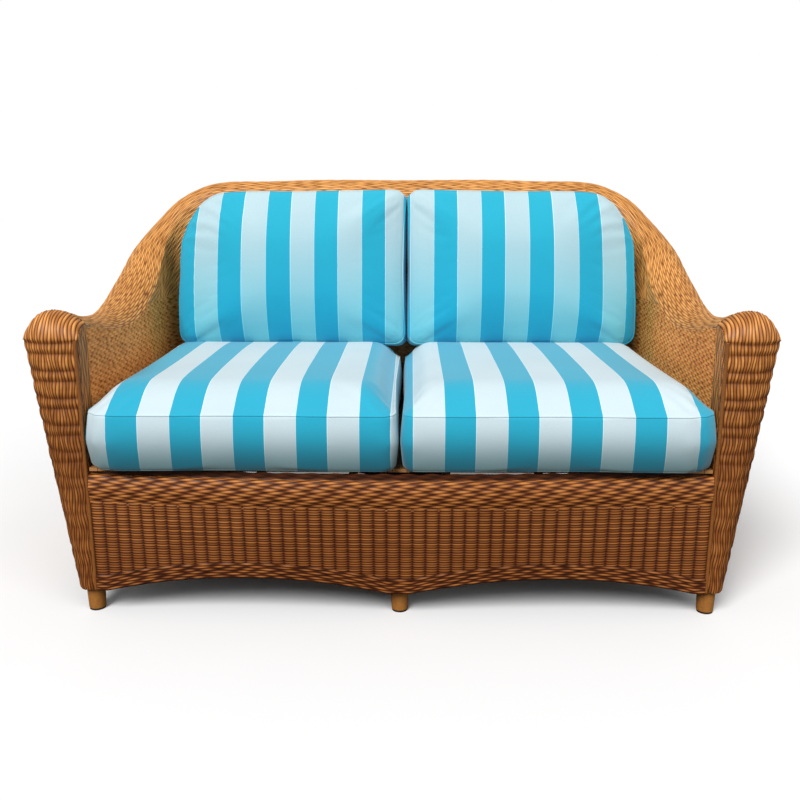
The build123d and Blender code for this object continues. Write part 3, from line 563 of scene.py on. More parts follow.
def wall_sheet(name, sections, profile, falls, limit, dash, material, wall, weave, flip):
    """Rows of weave at equal distances from the crest, down to a limit in each section."""
    kept = np.minimum(falls[None, :], limit[:, None])
    out, height, normal_out, normal_up = profile(sections, kept, wall)
    rows = falls[None, :] / weave.strand
    along = sections["along"][:, None]
    lifted, shade_and_tone = woven(np.broadcast_to(rows, kept.shape), along, dash, weave)
    points = lay(sections, out + normal_out * lifted, height + normal_up * lifted, wall)
    keep = (falls[None, :-1] < limit[:-1, None]) | (falls[None, :-1] < limit[1:, None])
    return sheet(name, points, rows, along, shade_and_tone, material, flip, keep)


def level_sheet(name, sections, faces, heights, low, high, dash, material, wall, weave, outer, flip):
    """Level rows of weave between a low and a high limit, on a straight face of the wall."""
    (near_out, near_up), (far_out, far_up) = faces
    kept = np.clip(heights[None, :], low[:, None], high[:, None])
    slope = (far_out - near_out) / (far_up - near_up)
    out = near_out[:, None] + (kept - near_up[:, None]) * slope[:, None]
    side = 1 if outer else -1
    bend = np.sqrt(1 + slope**2)[:, None]
    rows = heights[None, :] / weave.strand
    along = sections["along"][:, None]
    lifted, shade_and_tone = woven(np.broadcast_to(rows, kept.shape), along, dash, weave)
    up = kept - side * lifted * slope[:, None] / bend
    points = lay(sections, out + side * lifted / bend, up, wall)
    top_edge = np.maximum(high[:-1], high[1:])[:, None]
    low_edge = np.minimum(low[:-1], low[1:])[:, None]
    keep = (heights[None, :-1] < top_edge) & (heights[None, 1:] > low_edge)
    return sheet(name, points, rows, along, shade_and_tone, material, flip, keep)


# Settings of a node that multiplies one colour by another, and of one that mixes them.
TIMES = {"data_type": "RGBA", "blend_type": "MULTIPLY"}
OVER = {"data_type": "RGBA", "blend_type": "MIX"}


def add_node(tree, kind, output, inputs=(), stops=(), **settings):
    """One output of a new node, with the node's settings and links.

    Inputs are sockets or values, by name or number. Stops are a colour ramp's places and colours.
    """
    node = tree.nodes.new(kind)
    for key, value in settings.items():
        setattr(node, key, value)
    for key, value in dict(inputs).items():
        socket = node.inputs[key]
        if isinstance(value, bpy.types.NodeSocket):
            tree.links.new(value, socket)
        else:
            socket.default_value = (*value, 1) if socket.type == "RGBA" else value
    if stops:
        elements = node.color_ramp.elements
        while len(elements) < len(stops):
            elements.new(0.5)
        for element, (position, shade) in zip(elements, stops):
            element.position = position
            element.color = (*shade, 1)
    return node.outputs[output]


def blank_material(name, values):
    """A new material, its node tree, and its shader's inputs with the given values."""
    made = bpy.data.materials.new(name)
    made.use_nodes = True
    surface = made.node_tree.nodes["Principled BSDF"].inputs
    for key, value in values.items():
        surface[key].default_value = value
    return made, made.node_tree, surface


def two_tone(tree, pattern, shade, darker, low, high):
    """A colour that a pattern darkens to a share of itself, between two places of the pattern."""
    stops = ((low, tuple(darker * part for part in shade)), (high, shade))
    return add_node(tree, "ShaderNodeValToRGB", "Color", {"Fac": pattern}, stops)


def mottled(tree, shade, share, pattern, *stops):
    """A colour multiplied, by a share, with the tones that a pattern runs through."""
    tones = add_node(tree, "ShaderNodeValToRGB", "Color", {"Fac": pattern}, stops)
    return add_node(tree, "ShaderNodeMix", 2, {0: share, 6: shade, 7: tones}, **TIMES)


def with_painted_shade(tree, shade, low, high, tint, axis="Z"):
    """A colour with painted shade: it takes a tint from a high to a low place, or along another axis."""
    place = add_node(tree, "ShaderNodeTexCoord", "Object")
    ends = {"Value": add_node(tree, "ShaderNodeSeparateXYZ", axis, {0: place})}
    ends |= {"From Min": high, "From Max": low}
    fade = add_node(tree, "ShaderNodeMapRange", "Result", ends, interpolation_type="SMOOTHSTEP")
    tinted = add_node(tree, "ShaderNodeMix", 2, {0: 1.0, 6: shade, 7: tint}, **TIMES)
    return add_node(tree, "ShaderNodeMix", 2, {0: fade, 6: shade, 7: tinted}, **OVER)


def rattan(name, light, middle, dark, *fades, gloss=0.22):
    """Varnished rattan strands: painted shade in the dark gaps and warm flanks, painted highlight on the
    honey crowns, no two strands alike.

    Each fade is painted shade: it holds the two places between which the strands take its tint, and the tint.
    """
    values = {"Roughness": 0.48, "Specular IOR Level": gloss}
    values |= {"Coat Weight": gloss / 3, "Coat Roughness": 0.35}
    made, tree, surface = blank_material(name, values)
    shade_and_tone, strand, along = (
        add_node(tree, "ShaderNodeAttribute", "Fac", attribute_name=title)
        for title in ("shade_and_tone", "strand", "along")
    )
    # The strands' relief is painted in: painted shade in the gaps, painted highlight on the crowns.
    stops = ((0.0, dark), (0.3, middle), (0.95, light))
    shade = add_node(tree, "ShaderNodeValToRGB", "Color", {"Fac": shade_and_tone}, stops)
    # Each strand's own tone, changing over some 65 mm along it.
    along = add_node(tree, "ShaderNodeMath", 0, {0: along, 1: 9.0}, operation="MULTIPLY")
    spread = add_node(tree, "ShaderNodeCombineXYZ", 0, {"X": along, "Y": strand})
    grain = {"Vector": spread, "Scale": 1.7, "Detail": 2.0}
    tone = add_node(tree, "ShaderNodeTexNoise", "Fac", grain)
    shade = mottled(tree, shade, 0.7, tone, (0.3, (0.62, 0.52, 0.42)), (0.6, (1.0, 1.0, 1.0)))
    # Broad patches from sun and wear, some 140 mm wide.
    place = add_node(tree, "ShaderNodeTexCoord", "Object")
    grain = {"Vector": place, "Scale": 7.0, "Detail": 3.0}
    wear = add_node(tree, "ShaderNodeTexNoise", "Fac", grain)
    shade = mottled(tree, shade, 0.8, wear, (0.35, (0.86, 0.82, 0.76)), (0.65, (1.0, 1.0, 1.0)))
    for fade in fades:
        shade = with_painted_shade(tree, shade, *fade)
    tree.links.new(shade, surface["Base Color"])
    return made


def wound_cane(name, shade):
    """Glossy split cane with a fine grain, for wrapped feet and edge strips."""
    values = {"Roughness": 0.45, "Specular IOR Level": 0.3}
    values |= {"Coat Weight": 0.08, "Coat Roughness": 0.3}
    made, tree, surface = blank_material(name, values)
    # Painted shade between the turns of cane, from each turn's round.
    shade_and_tone = add_node(tree, "ShaderNodeAttribute", "Fac", attribute_name="shade_and_tone")
    tone = two_tone(tree, shade_and_tone, shade, 0.3, 0.0, 0.5)
    # Streaks of some 4.5 mm, coarser than real grain so that they show.
    place = add_node(tree, "ShaderNodeTexCoord", "Object")
    grain = {"Vector": place, "Scale": 220.0, "Detail": 4.0}
    streaks = add_node(tree, "ShaderNodeTexNoise", "Fac", grain)
    stops = ((0.3, (0.72, 0.66, 0.6)), (0.7, (1.05, 1.03, 1.0)))
    tree.links.new(mottled(tree, tone, 0.7, streaks, *stops), surface["Base Color"])
    return made


def grained_wood(name, shade, stretch=(40.0, 2.5, 40.0)):
    """Plain wood or peeled pole, streaked along its length."""
    made, tree, surface = blank_material(name, {"Roughness": 0.55, "Specular IOR Level": 0.3})
    # Wood's streaks are some 8 mm wide and 130 mm long.
    place = add_node(tree, "ShaderNodeTexCoord", "Object")
    place = add_node(tree, "ShaderNodeMapping", 0, {"Vector": place, "Scale": stretch})
    grain = {"Vector": place, "Scale": 3.0, "Detail": 6.0}
    streaks = add_node(tree, "ShaderNodeTexNoise", "Fac", grain)
    tree.links.new(two_tone(tree, streaks, shade, 0.55, 0.3, 0.65), surface["Base Color"])
    return made


def glide_plastic(name, shade):
    """Dull moulded plastic with a faint speckle of some 2.5 mm, for the glides."""
    made, tree, surface = blank_material(name, {"Roughness": 0.6, "Specular IOR Level": 0.3})
    place = add_node(tree, "ShaderNodeTexCoord", "Object")
    speckle = add_node(tree, "ShaderNodeTexNoise", "Fac", {"Vector": place, "Scale": 400.0})
    tree.links.new(two_tone(tree, speckle, shade, 0.8, 0.35, 0.65), surface["Base Color"])
    return made


def striped_cloth(name, blue_shade, pale_shade, thread, stripe_line, stripe, first, sides, deep):
    """Woven canvas striped from front to rear: stripes by place across it, blue end boxings.

    The first blue stripe's middle is given, and the places beyond which the sides are all blue.
    """
    values = {"Roughness": 0.8, "Specular IOR Level": 0.2}
    values |= {"Sheen Weight": 0.3, "Sheen Roughness": 0.5}
    made, tree, surface = blank_material(name, values)
    low, high = sides
    # Away is the distance from the middle of a blue stripe, in shares of two stripes.
    steps = (
        ("shifted", "SUBTRACT", "across", first - 2 * stripe * 8 - stripe / 2),
        ("pairs", "DIVIDE", "shifted", 2 * stripe),
        ("turn", "FRACT", "pairs"),
        ("beside", "SUBTRACT", "turn", 0.25),
        ("away", "ABSOLUTE", "beside"),
        ("inside", "LESS_THAN", "away", 0.25),
        ("left", "LESS_THAN", "across", low),
        ("right", "GREATER_THAN", "across", high),
        ("ends", "MAXIMUM", "left", "right"),
        ("blue", "MAXIMUM", "inside", "ends"),
        ("past", "SUBTRACT", "away", 0.25),
        ("edge", "ABSOLUTE", "past"),
        ("thin", "LESS_THAN", "edge", stripe_line / (4 * stripe)),
        ("middle", "SUBTRACT", 1.0, "ends"),
        ("line", "MULTIPLY", "thin", "middle"),
    )
    marks = {"across": add_node(tree, "ShaderNodeAttribute", "Fac", attribute_name="across")}
    for title, operation, *values in steps:
        inputs = {number: marks.get(value, value) for number, value in enumerate(values)}
        marks[title] = add_node(tree, "ShaderNodeMath", 0, inputs, operation=operation)
    inputs = {0: marks["blue"], 6: pale_shade, 7: blue_shade}
    shade = add_node(tree, "ShaderNodeMix", 2, inputs, **OVER)
    shade = add_node(tree, "ShaderNodeMix", 2, {0: marks["line"], 6: shade, 7: thread}, **OVER)
    # The canvas weave of some 1.1 mm, coarser than real threads so that it shows.
    place = add_node(tree, "ShaderNodeTexCoord", "Object")
    grain = {"Vector": place, "Scale": 900.0, "Detail": 2.0}
    weave = add_node(tree, "ShaderNodeTexNoise", "Fac", grain)
    shade = mottled(tree, shade, 0.6, weave, (0.3, (0.86, 0.88, 0.9)), (0.7, (1.04, 1.03, 1.02)))
    # A slow unevenness over some 170 mm.
    grain = {"Vector": place, "Scale": 6.0, "Detail": 2.0}
    broad = add_node(tree, "ShaderNodeTexNoise", "Fac", grain)
    stops = ((0.3, (0.93, 0.95, 0.96)), (0.7, (1.03, 1.02, 1.01)))
    shade = mottled(tree, shade, 0.7, broad, *stops)
    # Painted shade towards the cushion's lower edge.
    tree.links.new(with_painted_shade(tree, shade, *deep), surface["Base Color"])
    raised = {"Height": weave, "Strength": 0.12, "Distance": 0.0004}
    tree.links.new(add_node(tree, "ShaderNodeBump", 0, raised), surface["Normal"])
    return made


def strand_falls(reach_down, weave):
    """Distances across the rows, with the same samples in every strand."""
    count = int(np.ceil(reach_down / weave.strand * weave.samples)) + 1
    return np.arange(count) * weave.strand / weave.samples


class SOFA_OT_walls(bpy.types.Operator):
    """Weave the arms and the back: inner panels, rolls and wings, outer faces and borders"""

    bl_idname = "sofa.walls"
    bl_label = "Woven Walls"

    def execute(self, context):
        wall, skirt, weave, colours = settings(context)
        # Painted shade towards the floor.
        deep = (wall.skirt_clear, wall.seat_base, FLOOR_SHADE_TINT)
        shades = (colours.rattan_light, colours.rattan_mid, colours.rattan_dark)
        honey = rattan("Rattan Honey", *shades, deep)
        # The arms' inner panels take a lighter copy of the rattan's colours as painted light, fading to the
        # back's tone at the rear.
        shades = (colours.lit_panel_crown, colours.lit_panel_flank, colours.lit_panel_gap)
        panel = rattan("Rattan Panel Painted Light", *shades, deep, PANEL_LIGHT_FADE, gloss=0.04)
        for part, node in (("left", "left_arm_weave"), ("back", "back_weave"), ("right", "right_arm_weave")):
            flip = part == "right"
            made = self.inner_panel(part, wall, weave, honey if part == "back" else panel, flip)
            made += self.rolls(part, wall, weave, honey, flip)
            made += self.outer_faces(part, wall, skirt, weave, honey, flip)
            for piece in made:
                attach(piece, "frame")
                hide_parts(node)
        return {"FINISHED"}

    def inner_panel(self, part, wall, weave, material, flip):
        sections = course(wall, part, PANEL_CORNER, weave.panel_dash / 3)
        edge_up = sections["top"] - sections["drop"]
        high = np.minimum(edge_up, wall.fold_height) + weave.strand / weave.samples
        low = np.full(len(high), wall.seat_base)
        heights = wall.seat_base + strand_falls(wall.fold_height - wall.seat_base + weave.strand, weave)
        faces = (
            (sections["reach"][:, 0], np.full(len(high), wall.seat_base)),
            (sections["reach"][:, 1], edge_up),
        )
        name = part + "_inner_panel"
        args = (heights, low, high, weave.panel_dash, material, wall, weave)
        return [level_sheet(name, sections, faces, *args, False, not flip)]

    def rolls(self, part, wall, weave, material, flip):
        sections = course(wall, part, ROLL_CORNER, weave.wing_dash / 4)
        crest, edge = sections["reach"][:, 2], sections["reach"][:, 1]
        across = crest - edge
        arc = (across**2 + sections["drop"] ** 2) / (2 * sections["drop"])
        curved = arc * np.arctan2(across, arc - sections["drop"])
        edge_up = sections["top"] - sections["drop"]
        foot_run = np.hypot(sections["reach"][:, 0] - edge, wall.seat_base - edge_up)
        stretch = foot_run / (edge_up - wall.seat_base)
        limit = curved + np.maximum(edge_up - wall.fold_height, 0) * stretch
        falls = strand_falls(limit.max(), weave)
        name = part + "_inner_roll"
        args = (falls, limit, weave.wing_dash, material, wall, weave)
        return [wall_sheet(name, sections, inner_profile, *args, flip)]

    def outer_faces(self, part, wall, skirt, weave, material, flip):
        sections = course(wall, part, OUTER_CORNER, weave.outer_dash / 4)
        roll, foot = sections["reach"][:, 3], sections["reach"][:, 4]
        arc = roll - sections["reach"][:, 2]
        roll_up = sections["top"] - arc
        stretch = np.hypot(foot - roll, wall.skirt_clear - roll_up) / (roll_up - wall.skirt_clear)
        limit = arc * pi / 2 + (roll_up - wall.turn_height) * stretch
        falls = strand_falls(limit.max(), weave)
        name = part + "_outer_roll"
        args = (falls, limit, weave.outer_dash, material, wall, weave)
        made = [wall_sheet(name, sections, outer_profile, *args, not flip)]
        edge = lower_edge(sections, wall)
        faces = ((foot, np.full(len(foot), wall.skirt_clear)), (roll, roll_up))
        low = edge + skirt.border_height
        high = np.full(len(foot), wall.turn_height)
        heights = wall.skirt_clear + strand_falls(wall.turn_height - wall.skirt_clear, weave)
        args = (heights, low, high, weave.outer_dash, material, wall, weave)
        made.append(level_sheet(part + "_outer_face", sections, faces, *args, True, flip))
        # The border follows the arches and turns in under the edge.
        falls = strand_falls(skirt.border_height + skirt.border_thick, weave)[None, :]
        up = edge[:, None] + np.maximum(skirt.border_height - falls, 0)
        inward = np.maximum(falls - skirt.border_height, 0)
        slope = ((roll - foot) / (roll_up - wall.skirt_clear))[:, None]
        rows = np.broadcast_to(falls / weave.strand, up.shape)
        along = sections["along"][:, None]
        lifted, shade_and_tone = woven(rows, along, weave.outer_dash / 2, weave)
        out = foot[:, None] + (up - wall.skirt_clear) * slope - inward + np.where(inward > 0, 0, lifted)
        points = lay(sections, out, up, wall)
        made.append(sheet(part + "_border", points, rows, along, shade_and_tone, material, not flip))
        return made


def front_top(wall, out):
    """Height of the arm's crest line at distances out from its inner face."""
    crest, drop, roll = wall.arm_crest_out, wall.arm_edge_drop, wall.arm_roll
    arc = (crest**2 + drop**2) / (2 * drop)
    inside = wall.arm_height - arc + np.sqrt(arc**2 - np.clip(crest - out, 0, crest) ** 2)
    outside = wall.arm_height - roll + np.sqrt(roll**2 - np.clip(out - crest, 0, roll) ** 2)
    return np.where(out < crest, inside, outside)


class SOFA_OT_arm_fronts(bpy.types.Operator):
    """Weave the ribbed fronts of the arms, from the inner side round the face to the outer side"""

    bl_idname = "sofa.arm_fronts"
    bl_label = "Arm Fronts"

    def execute(self, context):
        wall, skirt, weave, colours = settings(context)
        # Painted shade towards the floor, over a darker copy of the rattan's colours that paints the arms'
        # fronts in shade.
        deep = (wall.seat_base, wall.fold_height, FLOOR_SHADE_TINT)
        shades = (colours.shaded_front_crown, colours.shaded_front_flank, colours.shaded_skirt_gap)
        material = rattan("Rattan Front Painted Shade", *shades, deep)
        for side, name in ((-1, "left"), (1, "right")):
            piece = self.front(name + "_front", side, wall, skirt, weave, material)
            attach(piece, "frame")
            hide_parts(name + "_arm_front")
        return {"FINISHED"}

    def front(self, name, side, wall, skirt, weave, material):
        shoulder = wall.arm_height - wall.cap_depth
        rise = shoulder - wall.skirt_clear
        ribs = round(rise / skirt.rib_height)
        count = ribs * RIB_ROWS
        low = wall.skirt_clear + rise * np.arange(count) / count
        heights = np.concatenate((low, np.full(TOP_ROWS + 1, shoulder)))
        turn = np.concatenate((np.zeros(count), radians(90) * np.arange(TOP_ROWS + 1) / TOP_ROWS))
        inner_deep = wall.cap_depth - skirt.inner_back
        outer_deep = wall.cap_depth - skirt.outer_back
        widest = wall.arm_crest_out + wall.arm_roll
        step = weave.front_strand / weave.samples
        before = int((inner_deep + FRONT_SWAY) / step)
        path = step * np.arange(-before, int((widest + outer_deep) / step) + 2)
        z = heights[:, None]
        width = wall.arm_foot_out + (widest - wall.arm_foot_out) * (z - wall.skirt_clear) / rise
        drawn = FRONT_DRAW + (1 - FRONT_DRAW) * (z - wall.skirt_clear) / rise
        ribbed = rise / ribs
        run = heights + TOP_RUN * turn
        swaying = run[:, None] / SWAY_RUN + SWAY_TURN * np.sin(path / SWAY_ACROSS)
        sideways = FRONT_SWAY * np.sin(swaying)
        way = np.where(path > 0, path * drawn, path) + sideways * np.cos(turn)[:, None]
        across = np.clip(way, 0, width)
        share = across / width
        back = np.where(share < 0.5, skirt.inner_back, skirt.outer_back) * (2 * share - 1) ** 2
        # Plan normals: straight ahead at the middle, turning to the sides.
        slope = np.where(share < 0.5, skirt.inner_back, skirt.outer_back) * 4 * (2 * share - 1) / width
        inner = way < 0
        outer = way > width
        normal_out = np.where(inner, -1.0, np.where(outer, 1.0, slope / np.sqrt(1 + slope**2)))
        normal_back = np.where(inner | outer, 0.0, -1 / np.sqrt(1 + slope**2))
        deep = back + np.where(inner, -way, 0) + np.where(outer, way - width, 0)
        deep = np.minimum(deep, wall.cap_depth)
        wave = np.sin(path / (RIB_RUN * skirt.rib_height) + RIB_STEP * np.round(z / ribbed))
        wave = skirt.rib_wave * wave
        bulge = np.abs(np.sin(pi * (z - wall.skirt_clear) / ribbed + wave)) ** RIB_SHARP
        bulge = np.where(turn[:, None] > 0, 1.0, bulge)
        strong = np.clip((z - FADE_LOW) / (FADE_HIGH - FADE_LOW), 0, 1)
        strong = RIB_FAINT + (1 - RIB_FAINT) * strong
        bulge = 1 - (1 - bulge) * strong * np.clip(1 + way / FRONT_TURN, 0, 1)
        rows = path / weave.front_strand + before
        crown = strand_profile(rows)
        apart = wander(run[:, None], np.floor(rows), STAKE_WANDER * weave.front_dash)
        shift = np.floor(rows) + weave.uneven * apart
        sway = np.cos(pi * (run[:, None] / weave.front_dash + shift))
        raised = crown * (weave.relief + weave.dip * sway) - skirt.rib_relief * (1 - bulge)
        # Painted shade in the gaps between strands, deepest in the grooves between ribs, and painted
        # highlight on the crowns over a stake.
        shade_and_tone = crown * (0.76 + 0.24 * sway) * (0.22 + 0.78 * bulge)
        out = across + normal_out * raised
        deep = deep + normal_back * raised
        top = front_top(wall, across)
        near = np.clip((wall.cap_depth - deep) / (wall.cap_depth - back), 0, 1)
        over = np.sin(turn)[:, None]
        arched = np.where(inner, np.minimum(over, np.sqrt(1 - near**2)), over)
        up = z + (top - shoulder) * arched + raised * over
        rising = turn[:, None] > 0
        edge = np.where(outer & rising, back, deep)
        round_back = wall.cap_depth - (wall.cap_depth - edge) * np.cos(turn)[:, None]
        deep = np.where(inner | (outer & ~rising), deep, round_back)
        x = side * (wall.inner_half + out)
        points = np.stack((x, deep - wall.front_back, up), axis=-1)
        behind = way - width < outer_deep
        above = rising & (way - width > step)
        lower = inner & (z < skirt.top - skirt.band_height) & (way < -2 * skirt.strip_radius)
        good = behind & ~above & ~lower
        keep = good[:-1, :-1] & good[:-1, 1:] & good[1:, 1:] & good[1:, :-1]
        rows = np.broadcast_to(rows, out.shape)
        along = np.broadcast_to(run[:, None], out.shape)
        return sheet(name, points, rows, along, shade_and_tone, material, side < 0, keep)


def skirt_depth(x, z, wall, skirt):
    """How deep the skirt's hollows lie at a place across it and a height."""
    half = wall.inner_half
    bow = skirt.bow * z / skirt.top * (1 - (x / half) ** 2)
    return skirt.stake_relief - bow - wall.front_back


def skirt_edge(x, wall):
    """Height of the skirt's lower edge."""
    end = wall.inner_half - wall.foot_land
    return wall.skirt_clear + arc_height(np.abs(x), wall.foot_land, end, wall.arch_rise)


class SOFA_OT_skirt(bpy.types.Operator):
    """Weave the front skirt: the staked panel, its lower border and the rounded upper band"""

    bl_idname = "sofa.skirt"
    bl_label = "Front Skirt"

    def execute(self, context):
        wall, skirt, weave, colours = settings(context)
        # Painted shade towards the floor, over a darker copy of the rattan's colours that paints the skirt in
        # shade.
        deep = (wall.skirt_clear, skirt.top, SKIRT_SHADE_TINT)
        shades = (colours.shaded_skirt_crown, colours.shaded_skirt_flank, colours.shaded_skirt_gap)
        material = rattan("Rattan Skirt Painted Shade", *shades, deep)
        half = wall.inner_half - skirt.end_gap
        stakes = round(2 * half / skirt.stake_pitch)
        x = np.linspace(-half, half, stakes * STAKE_COLUMNS + 1)[None, :]
        for name, made in (
            ("front_skirt_panel", self.panel),
            ("front_skirt_border", self.border),
            ("front_skirt_band", self.band),
        ):
            piece = made(name + "_woven", x, wall, skirt, weave, material)
            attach(piece, "frame")
            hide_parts(name)
        return {"FINISHED"}

    def panel(self, name, x, wall, skirt, weave, material):
        half = wall.inner_half - skirt.end_gap
        bulge = strand_profile((x + half) / (2 * half) * ((x.shape[1] - 1) // STAKE_COLUMNS))
        band_low = skirt.top - skirt.band_height
        down = band_low - wall.skirt_clear - skirt.border_height + 3 * weave.strand
        falls = strand_falls(down, weave)[:, None]
        low = skirt_edge(x, wall) + skirt.border_height - weave.strand
        z = np.maximum(band_low + weave.strand - falls, low)
        rows = np.broadcast_to(falls / weave.strand, z.shape)
        crown = strand_profile(rows)
        raised = skirt.stake_relief * bulge + crown * weave.relief
        # Painted highlight on the strands over the stakes and painted shade between them; the strands also
        # differ a little in tone from row to row.
        shade_and_tone = crown * (0.3 + 0.62 * bulge) * (0.8 + 0.2 * np.cos(3 * rows))
        points = np.stack((x + 0 * z, skirt_depth(x, z, wall, skirt) - raised, z), axis=-1)
        keep = (z[:-1, :-1] > low[:, :-1]) | (z[:-1, 1:] > low[:, 1:])
        return sheet(name, points, rows, x, shade_and_tone, material, True, keep)

    def border(self, name, x, wall, skirt, weave, material):
        falls = strand_falls(skirt.border_height + skirt.border_thick, weave)[:, None]
        up = skirt_edge(x, wall) + np.maximum(skirt.border_height - falls, 0)
        under = np.maximum(falls - skirt.border_height, 0)
        rows = np.broadcast_to(falls / weave.strand, up.shape)
        raised, shade_and_tone = woven(rows, x + 0 * up, weave.outer_dash, weave)
        proud = skirt.stake_relief + skirt.border_proud + np.where(under > 0, 0, raised)
        deep = skirt_depth(x, up, wall, skirt) - proud + under
        points = np.stack((x + 0 * up, deep, up), axis=-1)
        return sheet(name, points, rows, x, shade_and_tone, material, True)

    def band(self, name, x, wall, skirt, weave, material):
        behind = skirt.deck_rise
        falls = strand_falls(skirt.band_height + skirt.band_thick + behind, weave)[:, None] - behind
        down = np.clip(falls - skirt.band_thick, 0, skirt.band_height)
        share = down / skirt.band_height
        up = skirt.top - down
        rows = np.broadcast_to(falls / weave.strand, (len(falls), x.shape[1]))
        shift = np.floor(rows) + BAND_SWAY * np.sin(BAND_STEP * rows)
        sway = np.cos(pi * (x / weave.band_dash + shift))
        crown = strand_profile(rows)
        raised = crown * (weave.relief + weave.band_dip * sway)
        # Painted highlight where the strands sway out and painted shade between them; the weave behind the
        # band lies in the cushions' shade, painted darker.
        shade_and_tone = crown * (0.55 + 0.45 * sway) * np.where(falls < 0, 0.2, 1)
        swell = skirt.band_swell * np.sin(pi * share)
        deep = skirt_depth(x, up + 0 * x, wall, skirt) - swell
        over = np.clip(falls / skirt.band_thick, 0, 1)
        deep = deep + skirt.band_thick * (1 - over) - raised * np.where(over < 1, 0, 1)
        up = up + raised * np.where(over < 1, 1, 0) + np.clip(-falls, 0, behind)
        points = np.stack((x + 0 * up, deep, up + 0 * x), axis=-1)
        return sheet(name, points, rows, x, shade_and_tone, material, True)


def wound_post(name, x, y, heights, radii, columns, weave, material):
    """A post wrapped with turns of cane that climb as they go round, closed at both ends."""
    turn = 2 * pi * np.arange(columns + 1) / columns
    z = np.asarray(heights)[:, None]
    rows = z / weave.cane + turn / (2 * pi)
    crown = strand_profile(rows)
    radius = np.asarray(radii)[:, None] + weave.cane_relief * (crown - 1)
    points = np.stack((x + radius * np.cos(turn), y + radius * np.sin(turn), z + 0 * turn), axis=-1)
    # Each turn's round is painted in as shade between the turns.
    piece = sheet(name, points, rows, z, crown, material)
    merge(piece, weave.cane_relief / 10)
    return piece


def only(piece):
    """Select one piece alone and make it active."""
    bpy.ops.object.select_all(action="DESELECT")
    piece.select_set(True)
    bpy.context.view_layer.objects.active = piece


def merge(piece, distance):
    """Join vertices that lie together."""
    only(piece)
    bpy.ops.object.mode_set(mode="EDIT")
    bpy.ops.mesh.select_all(action="SELECT")
    bpy.ops.mesh.remove_doubles(threshold=distance)
    bpy.ops.object.mode_set(mode="OBJECT")


class SOFA_OT_feet(bpy.types.Operator):
    """Wrap the six feet with cane"""

    bl_idname = "sofa.feet"
    bl_label = "Wrapped Feet"

    def execute(self, context):
        wall, _, weave, colours = settings(context)
        foot = context.scene.sofa_feet
        material = wound_cane("Foot Cane", colours.foot)
        rows = np.arange(foot.glide_height, wall.skirt_clear, weave.cane / CANE_ROWS)
        share = (rows - rows[0]) / (rows[-1] - rows[0])
        radii = foot.low_radius + (foot.top_radius - foot.low_radius) * share
        heights = np.concatenate((rows[:1], rows, rows[-1:]))
        radii = np.concatenate(([foot.leg_radius], radii, [foot.leg_radius]))
        places = []
        front = (wall.front_leg_depth, foot.front_half)
        rear = (wall.rear_leg_depth, wall.rear_leg_half)
        for depth, half in (front, rear):
            places += [(x, depth - wall.front_back) for x in (-half, 0.0, half)]
        for number, (x, y) in enumerate(places):
            name = f"foot_cane_{number + 1}"
            piece = wound_post(name, x, y, heights, radii, FOOT_COLUMNS, weave, material)
            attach(piece, "frame")
            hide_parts("foot_wraps")
        return {"FINISHED"}


class SOFA_OT_edge_strips(bpy.types.Operator):
    """Wrap the strips on the arms' inner front edges with cane"""

    bl_idname = "sofa.edge_strips"
    bl_label = "Edge Strips"

    def execute(self, context):
        wall, skirt, weave, colours = settings(context)
        material = wound_cane("Strip Cane", colours.cane)
        high = wall.arm_height - wall.cap_depth
        rows = np.arange(wall.skirt_clear, high, weave.cane / CANE_ROWS)
        heights = np.concatenate((rows[:1], rows, rows[-1:]))
        radii = np.concatenate(([0.0], np.full(len(rows), skirt.strip_radius), [0.0]))
        for side, name in ((-1, "left"), (1, "right")):
            x = side * (wall.inner_half + skirt.strip_radius)
            y = skirt.strip_radius - wall.front_back
            piece = wound_post(name + "_strip_cane", x, y, heights, radii, STRIP_COLUMNS, weave, material)
            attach(piece, "frame")
            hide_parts(name + "_edge_strip")
        return {"FINISHED"}


def deck_weave(name, light, dark):
    """Flat woven deck, row by row, by place on the sofa."""
    made, tree, surface = blank_material(name, {"Roughness": 0.6, "Specular IOR Level": 0.3})
    place = add_node(tree, "ShaderNodeTexCoord", "Object")
    rows = {"Vector": place, "Scale": 1.0}
    rows |= {"Brick Width": DECK_DASH, "Row Height": DECK_STRAND, "Mortar Size": DECK_GAP}
    rows |= {"Color1": light, "Color2": [0.75 * part for part in light], "Mortar": dark}
    tree.links.new(add_node(tree, "ShaderNodeTexBrick", "Color", rows), surface["Base Color"])
    return made


class SOFA_OT_seat_frame(bpy.types.Operator):
    """Give the legs, rails, rods, posts, top pole, deck and glides their finishes"""

    bl_idname = "sofa.seat_frame"
    bl_label = "Seat Frame"

    def execute(self, context):
        colours = context.scene.sofa_colours
        wood = grained_wood("Frame Wood", colours.wood)
        pole = grained_wood("Rattan Pole", colours.pole, (60.0, 4.0, 4.0))
        glide = glide_plastic("Foot Glide", colours.glide)
        deck = deck_weave("Deck Weave", colours.deck, colours.rattan_dark)
        finishes = {"seat_deck_weave": deck, "foot_glides": glide}
        finishes |= {name: pole for name in ("top_hoop_pole", "back_uprights", "seat_rods")}
        finishes |= {side + "_arm_posts": pole for side in ("left", "right")}
        finishes |= {side + "_side_rail": wood for side in ("left", "right")}
        finishes |= {side + "_seat_rail": wood for side in ("front", "rear", "centre")}
        for end in ("front", "rear"):
            finishes |= {f"{end}_{side}_leg": wood for side in ("left", "centre", "right")}
        for name, material in finishes.items():
            for slot in bpy.data.objects[name].material_slots:
                slot.material = material
        return {"FINISHED"}


